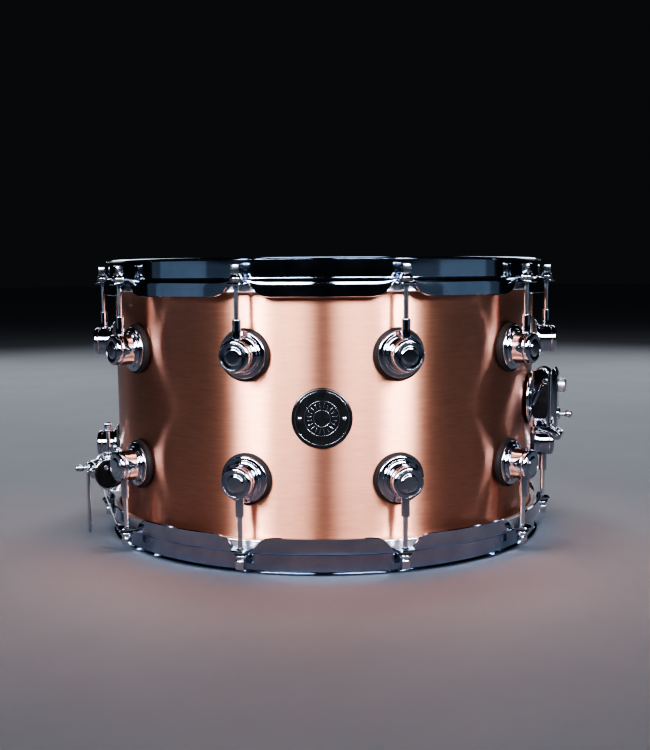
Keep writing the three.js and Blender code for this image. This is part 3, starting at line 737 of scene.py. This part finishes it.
def gate_cutters():
    """Openings of the bottom hoop for the two snare straps, in its upside-down frame."""
    half = 15
    low, high = -18.2, RIM_RISE - 3.4
    gate = block((SHELL_RADIUS + 1, -half, low), (SHELL_RADIUS + 24, half, high), 2.5)
    azimuths = [180 - STRAINER_AZIMUTH, 180 - BUTT_AZIMUTH]
    return merged(*[moved(gate, towards(azimuth)) for azimuth in azimuths])


def add_hoops():
    """Both hoops with holes for the rods, and the bottom one with the straps' gates as well."""
    sheet = new_mesh("hoop_sheet", hoop_shape(), HOOP_CHROME_PAINTED_DARK)
    top = cut_mesh(sheet, ear_hole_cutters())
    add_piece("top_hoop_sheet", top, "drum", drum_end(True), ["top_hoop"])
    bottom = cut_mesh(top, gate_cutters())
    add_piece("bottom_hoop_sheet", bottom, "drum", drum_end(False), ["bottom_hoop"])


# ---------------------------------------------------------------- lugs and rods


GASKET_FRONT = 3.0


def gasket_shape():
    """Rubber ring under a lug: its back follows the shell and its front is flat.

    Each row is a radius, and how far it lies between the back (0) and the front (1).
    """
    radius, steps = 19.1, 72
    hole = radius - 8
    clearance = 0.03
    rows = [
        (hole, 0), (radius - 0.2, 0), (radius, 0.2), (radius, 0.7), (radius - 0.25, 0.92),
        (radius - 0.8, 1), (hole, 1),
    ]
    points = []
    for ring_radius, share in rows:
        for step in range(steps):
            angle = 2 * math.pi * step / steps
            y, z = ring_radius * math.cos(angle), ring_radius * math.sin(angle)
            back = math.sqrt(SHELL_RADIUS ** 2 - y * y) - SHELL_RADIUS + clearance
            points.append((back + (GASKET_FRONT - back) * share, y, z))
    return points, skin(len(rows), steps)


def turret_shape():
    """Turned lug: base flange with a sloping face, step, neck, and a cap with a raised button."""
    return outwards(lathe([
        (0, GASKET_FRONT), (17.1, GASKET_FRONT, 0.2), (17.3, 4.6, 0.5), (16.5, 5.4, 0.6), (14.1, 5.7, 0.2),
        (13.9, 6.9, 0.6), (13.0, 7.4, 0.5), (12.1, 7.7, 0.6), (12, 9.2, 0.8),
        (12, 16.9, 0.3), (11.5, 17.2, 0.2), (11.5, 17.6, 0.2), (11.8, 17.9, 0.3),
        (11.7, 21.0, 1.3), (10.2, 22.0, 0.9), (9.6, 22.0, 0.1), (9.5, 21.7), (9.1, 21.7), (9.0, 22.0, 0.1),
        (7.2, 21.8, 0.3), (6.6, 21.8, 0.3), (5.5, 22.8, 0.8), (4.4, 22.9, 0.4), (0, 22.9),
    ], 96))


def receiver_shape():
    """Tube that the rod screws into, rising from the lug's neck."""
    reach = ROD_RADIUS - SHELL_RADIUS
    tube = lathe([
        (3.0, 8, 0.2), (3.2, 13, 0.3), (3.2, LUG_TUBE_END - 0.1, 0.4), (2.5, LUG_TUBE_END, 0.3),
        (2.15, LUG_TUBE_END - 0.8, 0.3), (2.15, 8, 0.2),
    ], 40, closed=True)
    return shifted(tube, x=reach)


def lug_screw_shape():
    """Screw head and washer inside the shell."""
    wall = -SHELL_WALL
    washer = lathe([(0, wall - 1.4), (7.5, wall - 1.4, 0.4), (7.5, wall - 0.4, 0.4), (0, wall - 0.4)], 40)
    head = lathe([(0, wall - 5.4), (4.2, wall - 5.4, 0.7), (4.6, wall - 1.6, 0.3), (0, wall - 1.6)], 6)
    return outwards(merged(washer, head))


def square_head(low, high, bevel):
    """Square end of a rod or screw that a drum key turns."""
    half = KEY_SQUARE / 2
    return block((-half, -half, low), (half, half, high), bevel)


def rod_shape():
    """Key rod with z = 0 on top of the ear: threaded end, shank, flange and square head."""
    end = -(MID_HEIGHT - RIM_RISE - EAR_DROP - LUG_ROW - 6)
    thread_top = end + 17
    shank = lathe(
        [(0, end)] + threaded(ROD_SHANK, end, thread_top)
        + [(ROD_SHANK - 0.1, thread_top + 0.4), (ROD_SHANK - 0.1, 3.1), (0, 3.1)], 24)
    flange = lathe([
        (0, 2.9), (4.7, 2.9, 0.4), (4.9, 4.0, 0.4), (4.3, 5.2, 0.8), (3.4, 6.2, 0.6), (3.1, 7.0, 0.3),
        (0, 7.0),
    ], 48)
    return merged(shank, flange, square_head(6.6, 13.7, 0.9))


def rod_washer_shape():
    """Black washer between the ear and the rod's flange."""
    return lathe([(2.2, 0.95, 0.2), (5.2, 0.95, 0.4), (5.2, 2.85, 0.4), (2.2, 2.85, 0.2)], 48, closed=True)


def add_tension_sets():
    """Twenty lugs, each with a gasket, a receiver and a screw, and their key rods with washers."""
    gasket = new_mesh("lug_gasket", gasket_shape(), RUBBER)
    turret = new_mesh("lug_turret", turret_shape(), LUG_CHROME_PAINTED_DARK)
    receiver = new_mesh("lug_receiver", receiver_shape(), LUG_CHROME_PAINTED_DARK)
    screw = new_mesh("lug_screw", lug_screw_shape(), PLATED_ROD)
    key_rod = new_mesh("key_rod", rod_shape(), PLATED_ROD)
    washer = new_mesh("rod_washer", rod_washer_shape(), WASHER_BLACK)
    over = Matrix.Rotation(math.pi, 4, "X")
    for side, direction in (("top", 1), ("bottom", -1)):
        flip = over if direction < 0 else Matrix.Identity(4)
        ear = TOP_EDGE - EAR_DROP if direction > 0 else BOTTOM_EDGE + EAR_DROP
        for number, azimuth in enumerate(ROD_AZIMUTHS, 1):
            tag = f"{side}_{number:02d}"
            lug = facing(azimuth, MID_HEIGHT + direction * LUG_ROW) @ flip
            add_piece(f"lug_gasket_{tag}", gasket, "drum", lug)
            add_piece(f"lug_turret_{tag}", turret, "drum", lug, [f"lug_{tag}"])
            add_piece(f"lug_receiver_{tag}", receiver, "drum", lug)
            add_piece(f"lug_screw_{tag}", screw, "drum", lug)
            place = facing(azimuth, ear, ROD_RADIUS) @ flip
            node = f"tension_rod_{tag}"
            add_piece(f"key_rod_{tag}", key_rod, node, place, [node])
            add_piece(f"rod_washer_{tag}", washer, node, place)


# ---------------------------------------------------------------- badge


def add_badge():
    """Round enamel badge with metal rings, two rivets and a plain ring of flutes."""
    place = facing(0, MID_HEIGHT)
    front = 2.1
    disc = outwards(lathe([
        (0, 0.3), (21.8, 0.3, 0.3), (22, 1.5, 0.5), (21, front, 0.5), (0, front)], 128))
    add_shape("badge_disc", disc, ENAMEL, "drum", place, ["badge"])
    rings = [outwards(lathe([
        (radius - 0.25, 2.0), (radius - 0.2, 2.3, 0.1), (radius + 0.2, 2.3, 0.1), (radius + 0.25, 2.0),
    ], 128, closed=True)) for radius in (19.3, 12.6, 6.0)]
    flutes = 20
    flute = bevelled(block((2.0, -0.28, 7.6), (2.25, 0.28, 11.0), 0), 0.08)
    turns = [Matrix.Rotation(2 * math.pi * (index + 0.5) / flutes, 4, "X") for index in range(flutes)]
    ticks = [moved(flute, turn) for turn in turns]
    rivet = outwards(lathe([(0, 2.0), (1.7, 2.0), (1.6, 2.7, 0.4), (0.7, 3.2, 0.4), (0, 3.25)], 32))
    rivets = [shifted(rivet, y=y) for y in (-16, 16)]
    trim = merged(*rings, *ticks, *rivets)
    add_shape("badge_trim", trim, CHROME_CAST, "drum", place)


# ---------------------------------------------------------------- strainer


BASE_BACK, BASE_FRONT = 0.7, 4.0
CHEEK_INNER, CHEEK_OUTER = 14.5, 17.5
STRAINER_PIVOT = (24.0, 57.0)
BRIDGE_LOW, BRIDGE_TOP = 65.2, 68.4
COVER_PLACE = (12.2, CHEEK_OUTER + 0.1, 55.6)
COVER_RADIUS = 11.7
KEY_SCREW_OUT = 10.6
STRAP_OUT = 16.4
SLOT_HALF = 0.7


def screw_head(radius, height):
    """Round screw head with a round socket, standing on z = 0."""
    socket = radius * 0.45
    return lathe([
        (0, 0), (radius, 0, 0.1), (radius, height, 0.35), (socket + 0.15, height, 0.1),
        (socket, height - 0.15), (socket * 0.95, height * 0.35), (0, height * 0.35),
    ], 36)


def screws_at(radius, height, out, places):
    """Screw heads that point outwards, at a list of (y, z) places."""
    head = outwards(screw_head(radius, height))
    return [shifted(head, out, y, z) for y, z in places]


def cheek_outline():
    """Side view of a cheek, with a nose round the lever's pivot."""
    out, up = STRAINER_PIVOT
    return [
        (3, 40, 1), (12, 40, 6), (22, 46, 6), (22.4, 52.4, 2), (out + 3, 52.2, 3), (out + 5, up, 4),
        (out + 2.6, 61.6, 3.2), (19.6, 62.4, 3), (17.6, 66, 4), (10, BRIDGE_TOP, 3), (3, BRIDGE_TOP, 1),
    ]


def strainer_frame_shape():
    """Base plate with four screws, two cheeks, and a bridge with a collar for the key screw."""
    base = block((BASE_BACK, -CHEEK_OUTER, 39), (BASE_FRONT, CHEEK_OUTER, 75), 1.0)
    spans = mirrored_spans(CHEEK_INNER, CHEEK_OUTER)
    cheeks = [prism(cheek_outline(), low, high, 0.7) for low, high in spans]
    half_bridge = CHEEK_INNER + 0.5
    bridge = block((3, -half_bridge, BRIDGE_LOW), (15.4, half_bridge, BRIDGE_TOP), 0.8)
    low, high = BRIDGE_TOP - 0.2, BRIDGE_TOP + 2.4
    collar = lathe([(2.0, low, 0.1), (4.6, low, 0.3), (4.6, high, 0.6), (2.0, high, 0.2)], 40, closed=True)
    screws = screws_at(2.6, 1.8, BASE_FRONT, [(y, z) for y in (-9, 9) for z in (73.2, 41.8)])
    return merged(base, *cheeks, bridge, shifted(collar, x=KEY_SCREW_OUT), *screws)


def strainer_cover_shape():
    """Round side cover: a raised rim round a slightly domed middle."""
    return shifted(sideways(lathe([
        (0, 0), (COVER_RADIUS - 0.1, 0, 0.3), (COVER_RADIUS, 2.0, 0.8), (10.9, 3.3, 0.8), (9.9, 3.3, 0.6),
        (9.2, 2.3, 0.7), (0, 2.6),
    ], 72)), *COVER_PLACE)


def strainer_trim_shape():
    """Bezel round the side cover and a small screw in its face."""
    outer = COVER_RADIUS + 0.8
    bezel = lathe([
        (COVER_RADIUS, 0, 0.2), (outer, 0, 0.2), (outer, 1.6, 0.4), (COVER_RADIUS, 1.9, 0.3),
    ], 72, closed=True)
    screw = shifted(sideways(screw_head(1.9, 1.2)), 15, COVER_PLACE[1] + 2.3, 61)
    return merged(shifted(sideways(bezel), *COVER_PLACE), screw)


def strainer_carriage_shape():
    """Sliding clamp: two plates with the strap's slot between them, a lid and two screws."""
    half = CHEEK_INNER - 0.5
    front = 18.6
    top = 64
    back_part = block((6.4, -half, 45), (STRAP_OUT - SLOT_HALF, half, top), 0.6)
    front_part = block((STRAP_OUT + SLOT_HALF, -half, 46), (front, half, 62.8), 0.5)
    lid = block((STRAP_OUT - 2, -half, 61.2), (front, half, top), 0.5)
    clamps = screws_at(1.9, 0.9, front - 0.05, [(-9.5, 55), (9.5, 55)])
    return merged(back_part, front_part, lid, *clamps)


def strainer_key_shape():
    """Tension screw: thread in the carriage, smooth shank through the collar, flange and square head."""
    radius = 1.7
    thread_low, thread_high = 48, 66
    flange_low = 88
    thread = threaded(radius, thread_low, thread_high, 0.7, 0.2)
    shank = lathe(
        [(0, thread_low)] + thread
        + [(radius, thread_high + 0.4), (radius, flange_low), (0, flange_low)], 24)
    flange = lathe([
        (0, flange_low), (3.4, flange_low, 0.4), (4.2, 88.6, 0.4), (4.2, 89.4, 0.4), (3, 90.2, 0.4),
        (0, 90.2),
    ], 40)
    return shifted(merged(shank, flange, square_head(89.8, 95.2, 1.1)), x=KEY_SCREW_OUT)


def strainer_lever_shape():
    """Throw lever: pivot barrel and pin, a blade that hangs down from them, and a stud to pull."""
    out, up = STRAINER_PIVOT
    barrel = shifted(sideways(rod(4.4, -13.9, 13.9, 0.6, 48)), out, 0, up)
    pin = shifted(sideways(rod(2.0, -17.6, 17.6, 0.4, 32)), out, 0, up)
    flat_blade = prism([
        (-8, up, 1), (-8, 10, 2), (-5.4, 4, 3.4), (5.4, 4, 3.4), (8, 10, 2), (8, up, 1)], 27.2, 29.2, 0.6)
    to_front = Matrix.Rotation(-math.pi / 2, 4, "Z") @ Matrix.Scale(-1, 4, (1, 0, 0))
    neck = block((out, -8, up - 4.2), (28.4, 8, up + 3.4), 1.2)
    stud = outwards(lathe([
        (0, 24), (2.4, 24), (2.4, 28.6, 0.3), (1.7, 29.2, 0.3), (1.7, 31.2, 0.3), (3.0, 31.8, 0.6),
        (3.0, 35.6, 0.6), (2.4, 36.0, 0.2), (2.4, 36.6, 0.2), (2.8, 37.0, 0.3), (2.2, 38.1, 0.5), (0, 38.2),
    ], 40))
    return merged(barrel, pin, moved(flat_blade, to_front), neck, shifted(stud, z=up + 1.5))


def add_strainer():
    place = facing(STRAINER_AZIMUTH)
    housing = strainer_frame_shape()
    add_shape("strainer_frame", housing, CHROME_CAST, "drum", place, ["strainer_housing"])
    cover = strainer_cover_shape()
    add_shape("strainer_cover", cover, CAP, "drum", place, ["strainer_side_cap"])
    add_shape("strainer_trim", strainer_trim_shape(), CHROME_CAST, "drum", place)
    node = "strainer_slider"
    add_shape("strainer_carriage", strainer_carriage_shape(), CHROME_CAST, node, place, [node])
    node = "strainer_key_screw"
    add_shape("strainer_key", strainer_key_shape(), CHROME_CAST, node, place, [node])
    node = "strainer_lever"
    add_shape("strainer_throw_lever", strainer_lever_shape(), CHROME_CAST, node, place, [node])


# ---------------------------------------------------------------- butt and snare wires


BUTT_STRAP_OUT = 13.6


def butt_body_shape():
    """Base plate with four screws, and a block whose flat front takes the strap."""
    base = block((BASE_BACK, -16, 38), (BASE_FRONT, 16, 72), 1.0)
    front = 12.9
    body = prism([
        (3, 42, 0.5), (9, 43, 2), (front, 44, 0.4), (front, 65, 0.6), (9, 66.5, 2.5), (3, 67, 0.5),
    ], -13.5, 13.5, 0.8)
    upper = screws_at(2.6, 1.8, BASE_FRONT, [(-10, 69.4), (10, 69.4)])
    lower = screws_at(2.2, 1.6, BASE_FRONT, [(-10, 40.2), (10, 40.2)])
    return merged(base, body, *upper, *lower)


def butt_clamp_shape():
    """Plate over the strap, held by two square-headed screws with washers."""
    plate = block((14.3, -13.5, 45), (17.0, 13.5, 64), 0.7)
    places = [(-8.5, 54.5), (8.5, 54.5)]
    washer = outwards(lathe([(0, 0), (4.0, 0, 0.2), (4.0, 0.8, 0.3), (0, 0.8)], 36))
    head = outwards(block((-2.6, -2.6, 0), (2.6, 2.6, 4.4), 0.7))
    washers = [shifted(washer, 16.9, y, z) for y, z in places]
    heads = [shifted(head, 17.4, y, z) for y, z in places]
    return merged(plate, *washers, *heads)


def add_butt():
    place = facing(BUTT_AZIMUTH)
    add_shape("butt_body", butt_body_shape(), CHROME_CAST, "drum", place, ["butt_block"])
    add_shape("butt_clamp", butt_clamp_shape(), CHROME_CAST, "drum", place, ["butt_clamp_plate"])


WIRE_HEIGHT = 10.2
PLATE_INNER, PLATE_OUTER = 151, 163
STRAP_HALF_WIDTH, STRAP_HALF_THICK = 12.4, 0.24


def strap_line(clamp_out, clamp_low):
    """Centre line of a strap, from the wires' end plate through the hoop's gate up to its clamp."""
    edge = SHELL_RADIUS
    return filleted([
        (160, WIRE_HEIGHT - 0.4), (edge - 0.4, WIRE_HEIGHT - 0.1, 3), (edge + 7, WIRE_HEIGHT + 1.4, 3),
        (edge + 8.8, WIRE_HEIGHT + 6.4, 4), (edge + clamp_out, clamp_low - 2, 4), (edge + clamp_out, 60),
    ], 5)


def strap_shape(clamp_out, clamp_low):
    return ribbon(strap_line(clamp_out, clamp_low), STRAP_HALF_WIDTH, STRAP_HALF_THICK)


def strand_path(y):
    """Coiled wire from end plate to end plate."""
    coil, pitch, per_turn, reach = 0.75, 1.7, 6, 153
    count = int(2 * reach / pitch * per_turn)
    path = []
    for index in range(count + 1):
        angle = 2 * math.pi * index / per_turn
        x = -reach + 2 * reach * index / count
        path.append((x, y + coil * math.cos(angle), WIRE_HEIGHT + coil * math.sin(angle)))
    return path


def snare_plates_shape():
    """End plates of the wires, each with a thicker rib where the coils are soldered."""
    half = 21
    rib_end = PLATE_INNER + 5.5
    plates = []
    for end in (-1, 1):
        low, high = sorted((end * PLATE_INNER, end * PLATE_OUTER))
        plates.append(block((low, -half, WIRE_HEIGHT - 1.05), (high, half, WIRE_HEIGHT - 0.25), 0.2))
        low, high = sorted((end * PLATE_INNER, end * rib_end))
        plates.append(block((low, -half, WIRE_HEIGHT - 0.3), (high, half, WIRE_HEIGHT + 0.9), 0.25))
    return merged(*plates)


def add_snare_wires():
    """Coiled wires under the snare head with their end plates and straps, as pieces of one body."""
    place = facing(STRAINER_AZIMUTH, radius=0)
    strands, pitch = 20, 2.05
    wire_radius = 0.26
    paths = [strand_path((index - (strands - 1) / 2) * pitch) for index in range(strands)]
    coils = merged(*[sweep(path, wire_radius, 4) for path in paths])
    mesh = new_mesh("snare_coils", coils, WIRE, 80)
    add_piece("snare_coils", mesh, "snare_wires", place, ["snare_wires"])
    add_shape("snare_plates", snare_plates_shape(), ALUMINIUM, "snare_wires", place)
    far_strap = moved(strap_shape(BUTT_STRAP_OUT, 43), Matrix.Rotation(math.pi, 4, "Z"))
    straps = merged(strap_shape(STRAP_OUT, 42), far_strap)
    add_shape("snare_straps", straps, STRAP, "snare_wires", place)


# ---------------------------------------------------------------- damper


DAMPER_PIVOT = (24.5, 84.0)
DAMPER_SIDE = 12.0
KNOB_HEIGHT = 125
HANDLE_HEIGHT = 101.5
ARM_PIVOT = -14.8


def damper_foot_outline():
    """Side view of a foot that reaches forward under the body to the lever's pivot."""
    out, up = DAMPER_PIVOT
    return [
        (5, 88, 1), (16, 86.2, 2), (out - 3.6, up - 2.6, 2), (out + 0.6, up - 3.3, 2.4),
        (out + 3.2, up - 1, 2.6), (out + 2.4, up + 2.6, 2), (17.4, 92.6, 2), (5, 93, 0.5),
    ]


def damper_yoke_shape():
    """Boss through the shell and, inside it, a yoke with two ears for the arm's pin."""
    boss = shifted(outwards(rod(3.9, -9, 1, 0.4, 40)), z=MID_HEIGHT)
    plate = block((-9, -9, MID_HEIGHT - 5), (-6.5, 9, MID_HEIGHT + 5), 0.5)
    low, high = MID_HEIGHT - 4, MID_HEIGHT + 4
    ears = [block((-18.8, inner, low), (-6.6, outer, high), 0.6) for inner, outer in mirrored_spans(6, 9)]
    return merged(boss, plate, *ears)


def damper_body_shape():
    """Round base with four screws, rounded body with a bolt in each side, two feet and a crossbar."""
    disc = outwards(lathe([
        (0, BASE_BACK), (22.3, BASE_BACK, 0.2), (22.3, 2.0, 0.5), (21.2, 3.0, 0.6), (19.4, 3.2, 0.3),
        (18.9, 2.6, 0.3), (0, 2.6),
    ], 96))
    body = prism([
        (2.5, 91, 1), (9, 91, 1), (17.4, 91, 2), (17.4, 131, 2), (16.4, 137.4, 4), (10.5, 140, 4),
        (3.8, 137, 3), (2.5, 128, 2)], -DAMPER_SIDE, DAMPER_SIDE, 1.3)
    feet = [prism(damper_foot_outline(), low, high, 0.5) for low, high in mirrored_spans(8.3, 11.3)]
    crossbar = block((4, -10.5, 85.6), (18.6, 10.5, 88.4), 0.8)
    screws = screws_at(2.0, 1.5, 3.0, [(y, z) for z in (120, 107) for y in (-17.6, 17.6)])
    bolt = sideways(screw_head(2.3, 1.6))
    over = Matrix.Rotation(math.pi, 4, "X")
    bolts = [
        shifted(bolt, 14.6, DAMPER_SIDE - 0.1, 128.6),
        shifted(moved(bolt, over), 14.6, 0.1 - DAMPER_SIDE, 128.6),
    ]
    return merged(
        shifted(disc, z=MID_HEIGHT), body, *feet, crossbar, *screws, *bolts, damper_yoke_shape())


def damper_face_shape():
    """Dark oval inlay in the side of the body that faces the badge."""
    oval = [(3.4, 104, 4), (6, 98, 4), (15.4, 98, 4), (17, 104, 4), (17, 125, 4), (14.4, 129, 4),
            (9.5, 127.5, 4), (3.4, 113, 4)]
    return prism(oval, -DAMPER_SIDE - 0.5, -DAMPER_SIDE + 0.4, 0.25)


def damper_blade_shape():
    """Small slanting indicator on the inlay."""
    upright = block((-1.1, -0.5, -9), (1.1, 0.5, 9), 0.3)
    slanting = moved(upright, Matrix.Rotation(math.radians(24), 4, "Y"))
    return shifted(slanting, 8.6, -DAMPER_SIDE - 1.0, 117.5)


def damper_lever_shape():
    """Upright plate on a pivot barrel, with a ball-ended handle."""
    out, up = DAMPER_PIVOT
    barrel = shifted(sideways(rod(3.0, -7.7, 7.7, 0.5, 48)), out, 0, up)
    pin = shifted(sideways(rod(1.5, -11.5, 11.5, 0.3, 32)), out, 0, up)
    plate = prism([
        (18.4, 85, 0.5), (22.6, 85, 1), (23.4, 96, 2), (23.4, 134, 3), (20.8, 140, 2), (18.4, 138, 1),
    ], -7.5, 7.5, 0.8)
    boss = outwards(lathe([(0, 22), (5.2, 22), (5.2, 24.0, 0.5), (4.0, 25.6, 1.0), (0, 26)], 40))
    handle = outwards(lathe([
        (0, 22), (1.7, 22), (1.6, 29.4, 0.6), (2.5, 30.2, 0.6), (3.1, 32.2, 1.2), (2.7, 34.2, 1.0),
        (0, 35.3),
    ], 40))
    return merged(barrel, pin, plate, shifted(merged(boss, handle), z=HANDLE_HEIGHT))


def damper_knob_shape():
    """Thumb knob with two grooves round it, on its screw."""
    ridges = [(6.0, 24.9, 0.3), (5.7, 25.5, 0.2), (6.0, 26.1, 0.3), (5.7, 26.7, 0.2), (6.0, 27.3, 0.3)]
    outline = [(0, 18.6), (2, 18.6), (2, 23.7), (5.4, 23.7, 0.3)] + ridges
    outline += [(5.9, 28.4, 0.9), (4.6, 29.7, 1.0), (0, 29.9)]
    return shifted(outwards(lathe(outline, 48)), z=KNOB_HEIGHT)


def add_damper():
    place = facing(DAMPER_AZIMUTH)
    add_shape("damper_body", damper_body_shape(), CHROME_CAST, "drum", place, ["damper_housing"])
    add_shape("damper_face", damper_face_shape(), CAP, "drum", place)
    add_shape("damper_blade", damper_blade_shape(), LUG_CHROME_PAINTED_DARK, "drum", place)
    lever = damper_lever_shape()
    add_shape("damper_flip_lever", lever, CHROME_CAST, "damper_lever", place, ["damper_lever"])
    knob = damper_knob_shape()
    add_shape("damper_thumb_knob", knob, ALUMINIUM, "damper_knob", place, ["damper_knob"])
    add_damper_arm(place)


def add_damper_arm(place):
    """Spring arm inside the shell with a felt pad under the batter head."""
    pad_top = TOP_EDGE - 3.4
    pad_foot = pad_top - 7.4
    cup_top = pad_foot - 0.2
    cup_foot = pad_foot - 1.4
    pad_in = -43.8
    barrel = shifted(sideways(rod(3.4, -5.5, 5.5, 0.5, 40)), ARM_PIVOT, 0, MID_HEIGHT)
    pin = shifted(sideways(rod(1.8, -9, 9, 0.3, 28)), ARM_PIVOT, 0, MID_HEIGHT)
    spring_line = filleted([
        (ARM_PIVOT, MID_HEIGHT + 1), (ARM_PIVOT - 8, pad_foot - 20, 14), (pad_in, pad_foot - 0.6)], 6)
    spring = ribbon(spring_line, 5.2, 0.6, 0.25)
    cup = lathe([(0, cup_foot), (9, cup_foot, 0.4), (10, cup_top, 0.3), (0, cup_top)], 48)
    steel = merged(barrel, pin, spring, shifted(cup, x=pad_in))
    add_shape("damper_spring", steel, PLATED_ROD, "damper_arm", place, ["damper_arm"])
    pad = lathe([
        (0, cup_top), (15.4, cup_top, 0.9), (16, pad_foot + 3, 1.5), (15.6, pad_top, 1.2), (0, pad_top),
    ], 64)
    add_shape("damper_pad", shifted(pad, x=pad_in), FELT, "damper_arm", place)


# ---------------------------------------------------------------- the drum

add_camera()
add_stage()
add_shell()
add_heads()
add_flesh_hoops()
add_hoops()
add_tension_sets()
add_badge()
add_strainer()
add_butt()
add_snare_wires()
add_damper()
